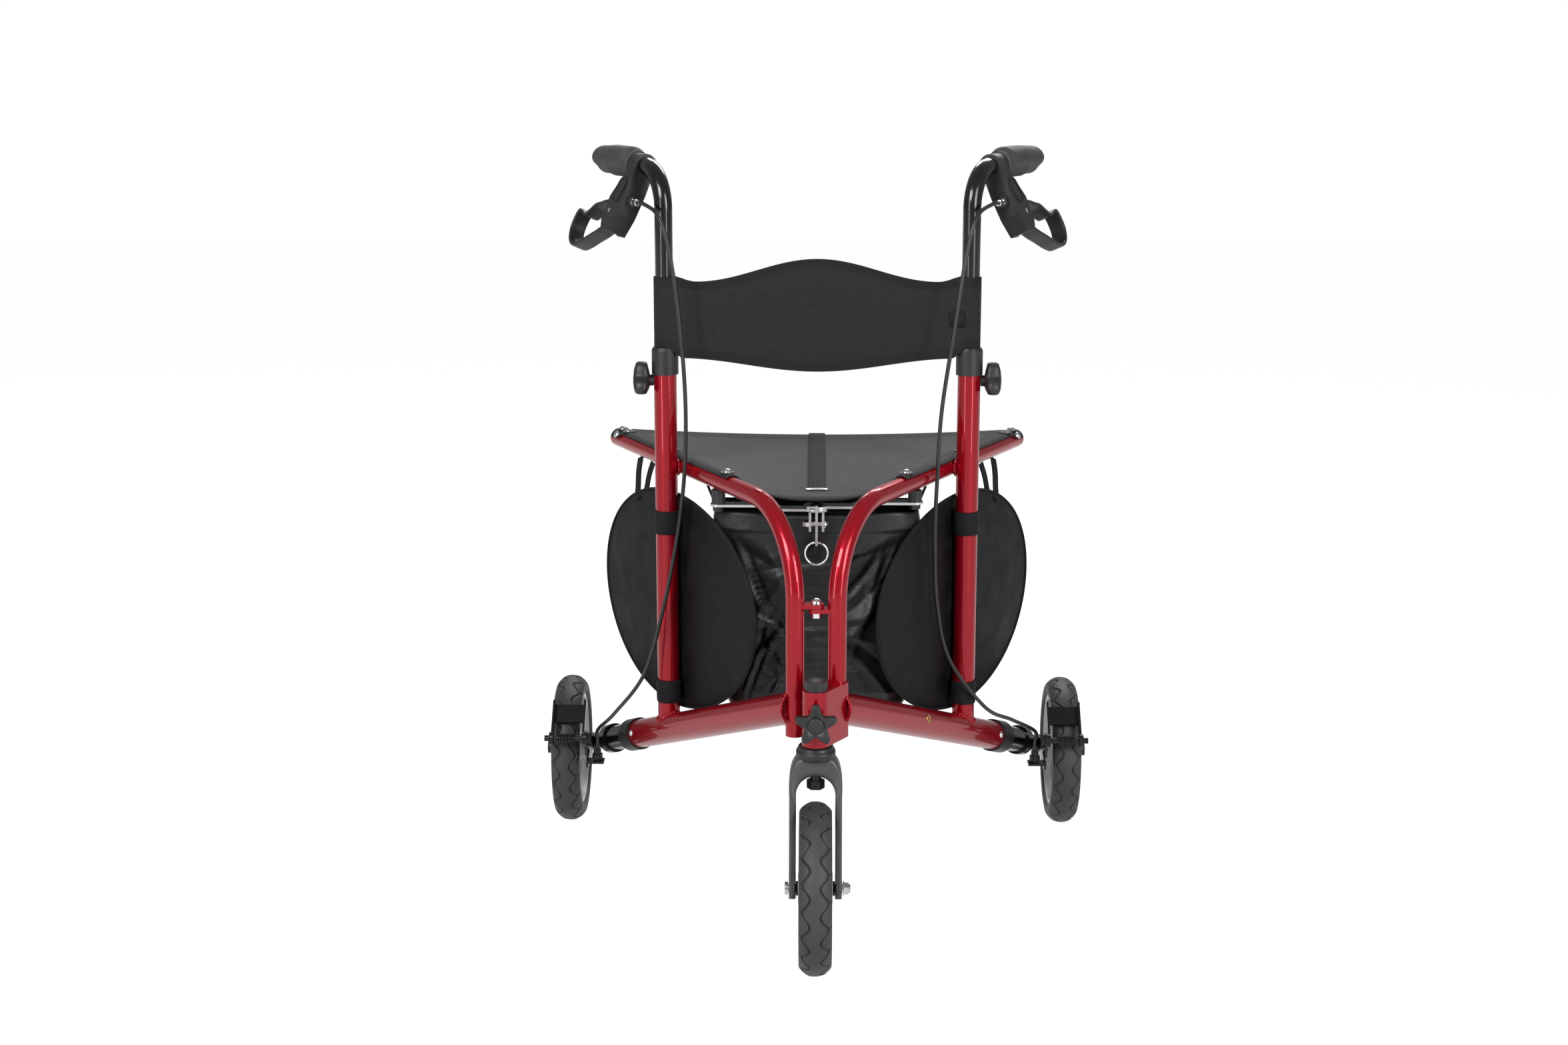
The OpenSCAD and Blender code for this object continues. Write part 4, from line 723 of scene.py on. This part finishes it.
def grip_points():
    """A hand's grip, round the handle's axis. Below, it is a round bar with rings as raised cosines. Above,
    its width and height grow by smooth steps to a palm rest, and the rear end closes by a circle's fall."""
    tail_start, tail_long, collar_r, bore_r = 177, 6, 17.6, 11.0
    bar_r, rib_high, rib_step, first_rib, last_rib = 15.0, 1.7, 12.6, 84, 147
    tail = tail_start + tail_long * np.sin(np.linspace(0.05, 1.57, 14))
    along = np.concatenate([[78, 78], np.linspace(78.3, 81.5, 5), np.linspace(82, tail_start, 150), tail])
    spin = full_turn(88)[None, :]
    x = along[:, None]
    rise = np.sin(spin)
    ring = 0.5 - 0.5 * np.cos(2 * np.pi * (x - first_rib) / rib_step)
    ribbed = (x > first_rib) & (x < last_rib)
    bar = bar_r + rib_high * ring * ribbed * np.clip(0.65 - rise, 0, 1)
    rest = step_up(x, 81, 94)
    top = 15.2 + rest * (7.4 - 2.2 * step_up(x, 135, 180))
    wing = 15.2 + rest * (4.6 + 1.6 * step_up(x, 140, 172))
    collar = np.where(x < 82, collar_r, 0)
    half = np.maximum(bar + (wing - bar) * step_up(rise, -0.5, 0.3), collar)
    height = np.maximum(np.where(rise > 0, top, bar), collar)
    bulge = np.abs(rise) ** np.where(rise > 0, 0.86, 1)
    bore = np.where(np.arange(len(along))[:, None] == 0, bore_r / collar_r, 1)
    closing = np.sqrt(np.clip(1 - ((x - tail_start) / 6.05).clip(0) ** 2, 0, 1))
    close = np.where(x > tail_start, 0.25 + 0.75 * closing, 1) * bore
    lean = 0.16 * np.where(x > 150, x - 150, 0) * rise
    local = grid_of(x + lean, half * np.cos(spin) * close, np.sign(rise) * height * bulge * close)
    axes = np.array(((grip_sine, grip_cosine, 0), (-grip_cosine, grip_sine, 0), (0, 0, 1)))
    return local / 1000 @ axes + grip_start


fit_pair("hand_grip", grip_points(), grip_rubber, "handle", "grip")

# Fold lock: two flat plated links on upright pivots under the seat, with black spacers below the rails.
# A blade on a sprung cross bolt drops into the links' middle joint, and a wire ring with a tab lifts it.
dress(["left_link", "right_link", "lock_lever"], zinc)
dress(["lock_bolt", "pull_ring", "hinge_bolts"], chrome)
dress(["centre_pivot"] + on_both("link_bolt"), plastic)

# Seat: a trapezoid of coarse ribbed webbing cloth, hemmed all round, wrapped over both seat rails and
# riveted to them. It sags most at its front edge. On the rollator it folds between the two halves of the
# frame; here it is one sheet that stays in place.


def weave_group():
    """Woven threads on a cloth's own metres: the product of two sine waves, and a share of light in it."""
    group, given, result = new_group(
        "woven_threads", {"Vector": "Vector", "Across": "Float", "Along": "Float"},
        {"Height": "Float", "Shade": "Float"},
    )
    parts = add_node(group, "SeparateXYZ", {0: given["Vector"]}).outputs
    waves = []
    for place, count in ((parts[0], given["Across"]), (parts[1], given["Along"])):
        turn = reckon(group, "MULTIPLY", count, 2 * np.pi)
        waves.append(reckon(group, "SINE", reckon(group, "MULTIPLY", place, turn)))
    half = reckon(group, "MULTIPLY_ADD", reckon(group, "MULTIPLY", *waves), 0.5, 0.5)
    fuzz = noise(group, given["Vector"], 90.0, 4.0)
    shade = reckon(group, "MULTIPLY_ADD", half, 0.4, fuzz)
    group.links.new(half, result["Height"])
    group.links.new(shade, result["Shade"])
    return group


woven_threads = weave_group()


def woven_finish(name, cloth, hem, rough, threads, depth, fixed=()):
    """Woven cloth whose colour goes to the hem tape's where the piece's own hem attribute is one."""
    fixed = {"Sheen Weight": 0.08, "Sheen Roughness": 0.4, **dict(fixed)}
    finish, tree, shader, place = new_finish(name, fixed, "UV")
    sizes = {"Vector": place, "Across": threads[0], "Along": threads[1]}
    weave = add_node(tree, "Group", sizes, node_tree=woven_threads)
    shade = weave.outputs["Shade"]
    taped = add_node(tree, "Attribute", attribute_name="hem").outputs["Fac"]
    plain = blend_colours(tree, shade, *cloth)
    tape = blend_colours(tree, shade, *hem)
    both = add_node(tree, "MixRGB", {"Fac": taped, "Color1": plain, "Color2": tape}).outputs[0]
    tree.links.new(both, shader["Base Color"])
    set_rough(tree, shader, shade, rough)
    set_bump(tree, shader, weave.outputs["Height"], 0.6, depth)
    return finish


def thicken(piece, thickness, offset):
    """Gives a sheet its thickness by a Solidify modifier."""
    wall = piece.modifiers.new("cloth_thickness", "SOLIDIFY")
    wall.thickness = thickness
    wall.offset = offset


def along_cols(points):
    """The distance along each row of a grid, from its middle column."""
    steps = np.linalg.norm(np.diff(points, axis=1), axis=2)
    run = np.hstack([np.zeros((len(points), 1)), np.cumsum(steps, axis=1)])
    return run - run[:, points.shape[1] // 2][:, None]


def span_halves(piece):
    """Bakes a cloth's placing into its points; the piece stays in place and follows neither half of the
    frame.
    """
    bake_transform(piece)


def seat_points():
    """The seat over its rails. Each row goes round the left rail by a circle, over to the right rail as a
    parabola that hangs below the rails, and round the right rail. At the rear ends the wrap goes lower."""
    front, seat_long, wrap_r, sag, pull = 172, 365, 11.7, 31, 14
    side_angle, rear_angle, top_angle = 48, 14, 114
    pucker_x, pucker_y = 100, -35
    rows = [np.linspace(front, 190, 10), np.linspace(194, 500, 56), np.linspace(506, 537, 12)]
    s = np.concatenate(rows)[:, None]
    share = (s - front) / seat_long
    low = side_angle + (rear_angle - side_angle) * step_up(s, 505, 520)
    turn = np.radians(low + (top_angle - low) * np.linspace(0, 1, 15))
    wrap_x = post_x + s * np.sin(rail_turn) + wrap_r * np.cos(turn) * np.cos(rail_turn)
    wrap_y = post_y + s * np.cos(rail_turn) - wrap_r * np.cos(turn) * np.sin(rail_turn)
    wrap_z = rail_z + wrap_r * np.sin(turn)
    u = np.linspace(-1, 1, 97)[None, 1:-1]
    hang = 1 - np.abs(u) ** (3.0 - share)
    span_x = wrap_x[:, -1:] * u
    span_y = wrap_y[:, -1:] + pull * (1 - share) * hang
    span_z = wrap_z[:, -1:] - sag * (1 - 0.75 * share) * hang
    reach = np.hypot(np.abs(span_x) - pucker_x, span_y - pucker_y)
    bearing = np.arctan2(span_y - pucker_y, np.abs(span_x) - pucker_x)
    span_z = span_z + 1.3 * np.exp(-reach / 70) * np.sin(9 * bearing) * np.clip(reach / 25, 0, 1)
    span_z = span_z - 2.2 * np.exp(-(s - front) / 5) * hang
    x = np.hstack([-wrap_x, span_x, wrap_x[:, ::-1]])
    y = np.hstack([wrap_y, span_y, wrap_y[:, ::-1]])
    z = np.hstack([wrap_z, span_z, wrap_z[:, ::-1]])
    on_rail = np.full_like(wrap_x, 0)
    inboard = np.hstack([on_rail, 1 - np.abs(span_x) / wrap_x[:, -1:], on_rail]) * wrap_x[:, -1:]
    hem = np.maximum(step_up(s, 507, 510), 1 - step_up(inboard, 17, 21))
    hem = np.maximum(hem, 1 - step_up(s, 182, 185))
    return grid_of(x, y, z + 0.5 * hem) / 1000, hem, s / 1000


seat_grid, seat_hem, seat_run = seat_points()
seat_uv = grid_of(along_cols(seat_grid), seat_run)
seat_cloth = skin("seat_cloth", seat_grid, uv=seat_uv, outward=False)
mark(seat_cloth, "hem", seat_hem)
seat_weave = woven_finish(
    "seat_webbing", ((0.008, 0.0085, 0.009), (0.062, 0.063, 0.066)),
    ((0.008, 0.008, 0.009), (0.03, 0.03, 0.032)), (0.6, 0.8), (330.0, 190.0), 0.0009,
    {"Specular IOR Level": 0.2, "Sheen Weight": 0.05},
)
seat_cloth.data.materials.append(seat_weave)
thicken(seat_cloth, 0.0018, 1)
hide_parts("seat")
span_halves(seat_cloth)

# Seat rivets: plated dome heads on black washers, pressed through the cloth into the rails.
# A smaller rivet holds each rear corner, and a moulded plug closes the rail's rear end behind it.


def rivet_finish():
    """Plated dome above a black washer: a mask on the height at which the dome starts."""
    dome_z = 0.5453
    finish, tree, shader, place = new_finish("seat_rivet")
    height = add_node(tree, "SeparateXYZ", {0: place}).outputs[2]
    bare = reckon(tree, "GREATER_THAN", height, dome_z)
    scratch = noise(tree, place, 900.0, 3.0)
    plate = blend_colours(tree, scratch, (0.62, 0.63, 0.65), (0.8, 0.8, 0.81))
    washer = blend_colours(tree, scratch, (0.008, 0.008, 0.008), (0.016, 0.016, 0.017))
    both = add_node(tree, "MixRGB", {"Fac": bare, "Color1": washer, "Color2": plate}).outputs[0]
    tree.links.new(both, shader["Base Color"])
    tree.links.new(bare, shader["Metallic"])
    set_rough(tree, shader, bare, (0.45, 0.16))
    return finish


dress(on_both("seat_rivets"), rivet_finish())
corner_out = np.cos(0.7) * rail_out + np.sin(0.7) * upward
corner_spot = rail_start + 0.521 * rail_way + 0.0134 * corner_out
plug_profile = [
    (8.6, 531), (8.8, 541.3), (10.9, 541.4), (10.9, 542.6), (9.8, 543.8), (5, 544.4), (0.4, 544.5),
]
fit_pair("corner_rivet", dome_points(corner_spot, corner_out, 0.009, 0.0028, 0.0008), zinc, "frame")
fit_pair("rail_plug", turned(rail_start, rail_way, plug_profile, 40), plastic, "frame")

# Seat strap: a black webbing lift strap sewn to the seat's rear hem, which runs forward over the cloth to a
# plated slot and hangs a little way down at the rear. It pulls the seat up to fold the frame.
webbing = woven_finish(
    "black_webbing", ((0.006, 0.006, 0.007), (0.016, 0.016, 0.018)),
    ((0.005, 0.005, 0.005), (0.01, 0.01, 0.011)), (0.6, 0.8), (700.0, 420.0), 0.0004,
    {"Specular IOR Level": 0.15, "Sheen Weight": 0.02},
)


def strap(name, path, width, thickness, across, body=None, make=fit):
    """Flat webbing: a thin rectangle with rounded edges carried along a path, with its metres as its own
    map. It is made as one piece or as a pair."""
    wide = np.array((-0.5, -0.47, 0.47, 0.5, 0.5, 0.47, -0.47, -0.5)) * width
    thick = np.array((-0.3, -0.5, -0.5, -0.3, 0.3, 0.5, 0.5, 0.3)) * thickness
    uv = grid_of(wide, run_along(path)[:, None])
    return make(name, carry(path, grid_of(thick, wide), across), webbing, body, uv=uv)


spine = seat_grid[14:, seat_grid.shape[1] // 2] + (0, 0, 0.0030)
strap_fall = spine[-1] + np.array([(0, 0.003, -0.002), (0, 0.0035, -0.008), (0, 0.003, -0.022)])
seat_strap = strap("seat_strap", np.vstack([spine, strap_fall]), 0.022, 0.0014, (1, 0, 0))
span_halves(seat_strap)
slot_turn = full_turn(48)
slot_oval = grid_of(0.0135 * np.cos(slot_turn), 0.0028 * np.sin(slot_turn), 0)
slot_line = spine[0] + (0, -0.001, 0.0004) + slot_oval
slot_grid = carry(slot_line, oval(8, 0.0016, 0.0016), upward, closed=True)
slot_rim = fit("strap_slot", slot_grid, chrome, ring=True)
span_halves(slot_rim)

# Backrest: a band of black padded cloth between the handle tubes, bound with tape along its upper and lower
# edges. Each end is folded round a tube and sewn back on itself, so that the tube slides in the sleeve.


def backrest_points():
    """A band along a line seen from above, from one back flap round the tubes to the other. Its lower and
    upper edges are heights by the distance from the middle, as squared cosines and smooth steps."""
    right = np.array([
        (165, 69.6, 0), (172, 73.5, 0), (179.2, 86.4, 0), (190.4, 92.6, 0), (199.3, 88.9, 0), (203, 80, 0),
        (199.3, 71.1, 0), (190.4, 67.4, 0), (178, 67.3, 0), (160, 67.5, 0),
    ])
    low_z, high_z, arch_half = 684.6, 772, 150
    ends = smooth_route(right, 8)
    flat = np.linspace(158, -158, 100)
    front = grid_of(flat, 67.5 + 1.5 * np.cos(np.pi / 2 * flat / 160), 0)
    line = np.vstack([ends, front, (ends * (-1, 1, 1))[::-1]])
    x = np.abs(line[:, 0])
    low = low_z - 13 * (1 - step_up(x, 166, 188)) - 17 * np.cos(np.pi / 2 * np.clip(x / 175, 0, 1)) ** 2
    arch = 28 * np.cos(np.pi / 2 * np.clip(x / arch_half, 0, 1)) ** 2 - 5
    high = high_z + np.where(x < arch_half, arch, -5 * (1 - step_up(x, arch_half, 176)))
    edge = np.array((0, 0.006, 0.016))
    share = np.concatenate([edge, np.linspace(0.04, 0.96, 44), 1 - edge[::-1]])
    z = low[:, None] + (high - low)[:, None] * share
    from_edge = np.minimum(z - low[:, None], high[:, None] - z)
    hem = 1 - step_up(from_edge, 10.5, 12)
    pad = 1.6 * step_up(from_edge, 11, 30) - 0.5 * hem
    number = np.arange(len(line))
    facing = (number > len(ends) - 8) & (number < len(line) - len(ends) + 8)
    y = line[:, 1:2] - pad * (facing & (x < 160))[:, None]
    run = run_along(line)[:, None]
    return grid_of(line[:, :1], y, z) / 1000, grid_of(run, z) / 1000, hem


band_grid, band_uv, band_hem = backrest_points()
backrest = skin("backrest_band", band_grid, uv=band_uv, outward=False)
mark(backrest, "hem", band_hem)
backrest_weave = woven_finish(
    "backrest_cloth", ((0.008, 0.008, 0.009), (0.019, 0.0195, 0.022)),
    ((0.006, 0.006, 0.007), (0.014, 0.014, 0.015)), (0.7, 0.9), (900.0, 900.0), 0.0003,
    {"Specular IOR Level": 0.25},
)
backrest.data.materials.append(backrest_weave)
thicken(backrest, 0.0015, 0)
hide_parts("backrest")
span_halves(backrest)

# Bag: thin shiny nylon sewn to a round-cornered sack that hangs open under the seat, with a hemmed mouth.
# Two webbing straps hold it to the rails, and its walls crease and sag.
# Each crease is given by its slope, its start up the wall, its height and its width.
bag_creases = np.array([
    (0.9, 0.3, 4.55, 0.04), (0.55, 0.56, -4.2, 0.06), (-0.45, 0.36, 4.2, 0.045), (-0.25, 0.7, -3.85, 0.07),
    (1.7, 0.12, 4.2, 0.06), (-1.1, 0.16, 3.15, 0.05), (0.3, 0.84, 2.8, 0.05), (0.15, 0.2, -3.15, 0.07),
    (2.8, 0.62, 3.15, 0.1), (-2.0, 0.44, 2.8, 0.09), (0.7, 0.74, 3.15, 0.035), (0.35, 0.44, 3.15, 0.03),
])


def bag_points():
    """A sack in rings. Each ring is a rounded rectangle, a power of cosine and sine, drawn in at the floor
    and the mouth. Slow sine waves and creases along slanted lines push the wall in and out."""
    floor_z, wall_h, half_wide, half_deep, middle_y = 226, 262, 128, 59, 54.4
    spin = full_turn(220)[None, :]
    floor_share = np.linspace(0.03, 0.93, 16)
    wall = np.concatenate([[0, 0.006, 0.02, 0.045, 0.08], np.linspace(0.11, 0.97, 120), [0.985, 1.0]])
    rise = np.concatenate([np.zeros(16), wall])[:, None]
    draw = np.concatenate([floor_share, 1 - 0.07 * (1 - np.clip(wall / 0.08, 0, 1)) ** 2])[:, None]
    swell = 0.82 + 0.18 * np.sin(np.pi * (0.15 + 0.7 * rise)) + 0.11 * step_up(rise, 0.6, 0.98)
    folds = 2.4 * np.sin(5 * spin + 2.2 * rise + 1.1) * np.sin(np.pi * rise) ** 0.5
    number = np.arange(26)
    start = 0.12 + 0.66 * (0.618 * number % 1)
    small = grid_of(1.1 * np.sin(2.4 * number), start, 2.2 * (-1.0) ** number, 0.016)
    on_wall = step_up(rise, 0.02, 0.15) * (1 - step_up(rise, 0.78, 0.9))
    for slope, start, height, width in np.vstack([bag_creases, small]):
        away = np.abs(rise - start - slope * np.cos(spin)) / width
        folds = folds + height * np.exp(-away) * on_wall
    hem = step_up(rise, 0.905, 0.92)
    folds = (folds * np.clip(rise * 8, 0, 1) + 1.2 * hem - 3.4) * (rise > 0)
    x = (half_wide * swell * draw + folds) * round_power(np.cos(spin), 0.5)
    y = middle_y + (half_deep * swell * draw + folds) * round_power(np.sin(spin), 0.5)
    dip = 3.0 * np.cos(np.pi / 2 * np.clip(draw, 0, 1)) * (rise == 0)
    z = floor_z + wall_h * rise - dip + 1.2 * np.sin(5 * spin) * step_up(rise, 0.9, 1)
    return grid_of(x, y, z) / 1000


bag_grid = bag_points()
bag_uv = grid_of(np.linspace(0, 0.7, bag_grid.shape[1]), bag_grid[..., 2])
bag = skin("nylon_bag", bag_grid, uv=bag_uv, cols_close=True)


def nylon_finish():
    """Coated nylon: fine weave under a shine, and crumpled creases from two noises bent by each other."""
    fixed = {"Coat Weight": 0.08, "Coat Roughness": 0.3, "Specular IOR Level": 0.4}
    finish, tree, shader, place = new_finish("bag_nylon", fixed)
    slow = {"Vector": place, "Scale": 14.0, "Detail": 3.0, "Distortion": 1.2}
    bent = add_node(tree, "TexNoise", slow).outputs[0]
    cells = {"Vector": place, "Scale": 22.0}
    sharp = add_node(tree, "TexVoronoi", cells, feature="SMOOTH_F1").outputs["Distance"]
    crease = reckon(tree, "MULTIPLY_ADD", bent, sharp, 0.0)
    fine = noise(tree, place, 2400.0)
    black = blend_colours(tree, bent, (0.006, 0.0065, 0.0075), (0.013, 0.0135, 0.015))
    tree.links.new(black, shader["Base Color"])
    set_rough(tree, shader, fine, (0.34, 0.48))
    set_bump(tree, shader, crease, 0.4, 0.014)
    return finish


bag.data.materials.append(nylon_finish())
thicken(bag, 0.0012, -1)
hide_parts("bag")
span_halves(bag)
bag_hang = [(116, 33.8, 458), (119.5, 33.8, 474), (126, 33.8, 492), (136, 33.8, 517.5)]
strap("bag_strap", smooth_route(bag_hang, 8) / 1000, 0.016, 0.0016, (0, 1, 0), "frame", fit_pair)

# Side panels: flat padded cloth guards with taped edges, tied to the uprights by two loops each and hung
# from the seat rails by two short webbing straps.
panel_along, panel_up, panel_depth = 10, 352.5, 19.2
panel_half_long, panel_half_high = 200.5, 140.5


def panel_outline(angle):
    """The panel's edge in its own plane: an oval, drawn a little up at the rear and down at the front."""
    along = panel_along + panel_half_long * np.cos(angle) * (1 + 0.04 * np.sin(angle))
    up = panel_up + panel_half_high * np.sin(angle) * (1 + 0.07 * np.cos(angle)) - 3 * np.cos(angle)
    return along, up


def panel_place(along, depth, up):
    """Points of the panel's plane in the frame: along it, through it from the upright's axis, and up."""
    x = 1000 * upright_x + along * np.sin(tube_turn) - depth * np.cos(tube_turn)
    y = 1000 * upright_y + along * np.cos(tube_turn) + depth * np.sin(tube_turn)
    return grid_of(x, y, up) / 1000


def panel_points(count):
    """A round pad from a square grid: the square is pressed to a disc, the disc is stretched to the outline,
    and the two faces part by a power of the distance from the edge."""
    u, v = np.meshgrid(np.linspace(-1, 1, count), np.linspace(-1, 1, count), indexing="ij")
    across = u * np.sqrt(1 - v * v / 2)
    over = v * np.sqrt(1 - u * u / 2)
    radius = np.clip(np.hypot(across, over), 0, 1)
    along, up = panel_outline(np.arctan2(over, across))
    along = panel_along + radius * (along - panel_along)
    up = panel_up + radius * (up - panel_up)
    half = 0.9 + 1.6 * (1 - radius**6)
    return np.stack([panel_place(along, panel_depth - half, up), panel_place(along, panel_depth + half, up)])


def read_points(mesh):
    """A mesh's points as rows."""
    spots = np.zeros(len(mesh.vertices) * 3, np.float32)
    mesh.vertices.foreach_get("co", spots)
    return spots.reshape(-1, 3)


def blow_up(pad, held_points, most):
    """Swells a pad as cloth under pressure with its edge held, and lets no point move more than the most."""
    held = pad.vertex_groups.new(name="held")
    held.add(held_points, 1.0, "REPLACE")
    cloth = pad.modifiers.new("stuffing", "CLOTH")
    cloth.settings.vertex_group_mass = "held"
    cloth.settings.use_pressure = True
    cloth.settings.uniform_pressure_force = 4
    cloth.settings.quality = 4
    cloth.settings.effector_weights.gravity = 0
    last_frame = 20
    before = read_points(pad.data)
    for number in range(1, last_frame + 1):
        scene.frame_set(number)
    after = read_points(pad.evaluated_get(bpy.context.evaluated_depsgraph_get()).to_mesh())
    pad.modifiers.remove(cloth)
    scene.frame_set(1)
    push = after - before
    size = np.linalg.norm(push, axis=1, keepdims=True)
    moved = before + push * np.minimum(1, most / np.maximum(size, 1e-9))
    pad.data.vertices.foreach_set("co", moved.astype(np.float32).ravel())
    pad.data.update()
    pad.vertex_groups.clear()


def padded_panel(name):
    """A closed pad from two faces and a strip round the edge, blown up as cloth with its edge held."""
    count = 62
    faces = panel_points(count)
    index = np.arange(2 * count * count).reshape(2, count, count)
    rim = [np.concatenate([s[0, :-1], s[:-1, -1], s[-1, :0:-1], s[:0:-1, 0]]) for s in index]
    strip = grid_of(rim[0], np.roll(rim[0], -1), np.roll(rim[1], -1), rim[1]).tolist()
    mesh = bpy.data.meshes.new(name)
    mesh.from_pydata(faces.reshape(-1, 3).tolist(), [], cells_of(index) + strip)
    face_out(mesh)
    pad = bpy.data.objects.new(name, mesh)
    scene.collection.objects.link(pad)
    blow_up(pad, np.concatenate(rim).tolist(), most=0.0022)
    mesh.shade_smooth()
    return pad


right_pad = padded_panel("right_panel_pad")
panel_cloth = grained_finish(
    "panel_cloth", (0.003, 0.003, 0.004), (0.007, 0.007, 0.009), (0.5, 0.65), 1400, 0.0001,
    {"Specular IOR Level": 0.18},
)
right_pad.data.materials.append(panel_cloth)
left_mesh = right_pad.data.copy()
left_points = read_points(left_mesh) * (-1, 1, 1)
left_mesh.vertices.foreach_set("co", left_points.astype(np.float32).ravel())
left_mesh.flip_normals()
left_pad = bpy.data.objects.new("left_panel_pad", left_mesh)
scene.collection.objects.link(left_pad)
edge_along, edge_up = panel_outline(full_turn(240))
panel_edge = panel_place(edge_along, panel_depth, edge_up)
panel_through = panel_place(0, 1, 0) - panel_place(0, 0, 0)
edge_section = oval(12, 0.0052, 0.0034)[:, ::-1]
loop_levels = (0.2379, 0.4607)
loop_section = oval(16, 0.0012, 0.030)
strap_places = ((462, 114, 15.5), (420, 108, 22.5))


def round_upright(angle, away, level):
    """Points round an upright's axis at one height, away from it by a distance."""
    return grid_of(upright_x + away * np.cos(angle), upright_y + away * np.sin(angle), level)


for side, pad in (("right", right_pad), ("left", left_pad)):
    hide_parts(side + "_side_panel")
    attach(pad, side + "_frame")
binding_grid = carry(panel_edge, edge_section, panel_through, closed=True)
fit_pair("panel_binding", binding_grid, webbing, "frame", ring=True)
lap = np.linspace(3.5, 5.4, 30)
lap_away = 0.0168 + 0.0022 * step_up(lap, 5.0, 5.4)
for number, level in enumerate(loop_levels):
    ring_grid = carry(round_upright(full_turn(72), 0.0155, level), loop_section, upward, closed=True)
    fit_pair("panel_loop_%d" % number, ring_grid, webbing, "frame", ring=True)
    tail = round_upright(lap, lap_away, level)
    strap("panel_flap_%d" % number, tail, 0.028, 0.0012, upward, "frame", fit_pair)
for number, (s, along, depth) in enumerate(strap_places):
    foot = panel_place(along, depth, 466) * 1000
    top = np.array((post_x + s * np.sin(rail_turn), post_y + s * np.cos(rail_turn), 516.5))
    upper = top * 0.66 + foot * 0.34 + (1, 0, 0)
    line = smooth_route([top, upper, top * 0.3 + foot * 0.7, foot], 8) / 1000
    strap("panel_strap_%d" % number, line, 0.014, 0.0015, rail_way, "frame", fit_pair)

# Small trim: a webbing tab behind the lock's pull ring, a cloth tab that holds the right cable to the
# backrest, and a brass eyelet pressed into the right bottom tube.
ring_tab_line = [(-0.004, -0.0125, 0.453), (-0.004, -0.0130, 0.445), (-0.004, -0.0145, 0.436)]
strap("pull_ring_tab", ring_tab_line, 0.012, 0.0016, (1, 0, 0), "lock")
cable_tab_line = [(0.1735, 0.0655, 0.731), (0.1735, 0.0640, 0.722), (0.1735, 0.0644, 0.712)]
strap("cable_tab", cable_tab_line, 0.017, 0.0016, (1, 0, 0), "right_frame")
brass = bright_metal("brass", (0.42, 0.27, 0.09), (0.6, 0.42, 0.17), (0.2, 0.3), (30, 30, 30))
eyelet_out = unit(np.array((0.859, -0.388, 0.335)))
eyelet_side = unit(np.cross(eyelet_out, (0, 0, 1)))
eyelet_turn = full_turn(40)[:, None]
eyelet_ring = np.cos(eyelet_turn) * eyelet_side + np.sin(eyelet_turn) * np.cross(eyelet_out, eyelet_side)
eyelet_line = np.array((0.14, -0.0356, 0.2364)) + 0.0038 * eyelet_ring
eyelet_grid = carry(eyelet_line, oval(10, 0.0026, 0.0018), eyelet_out, closed=True)
fit("tube_eyelet", eyelet_grid, brass, "right_frame", ring=True)
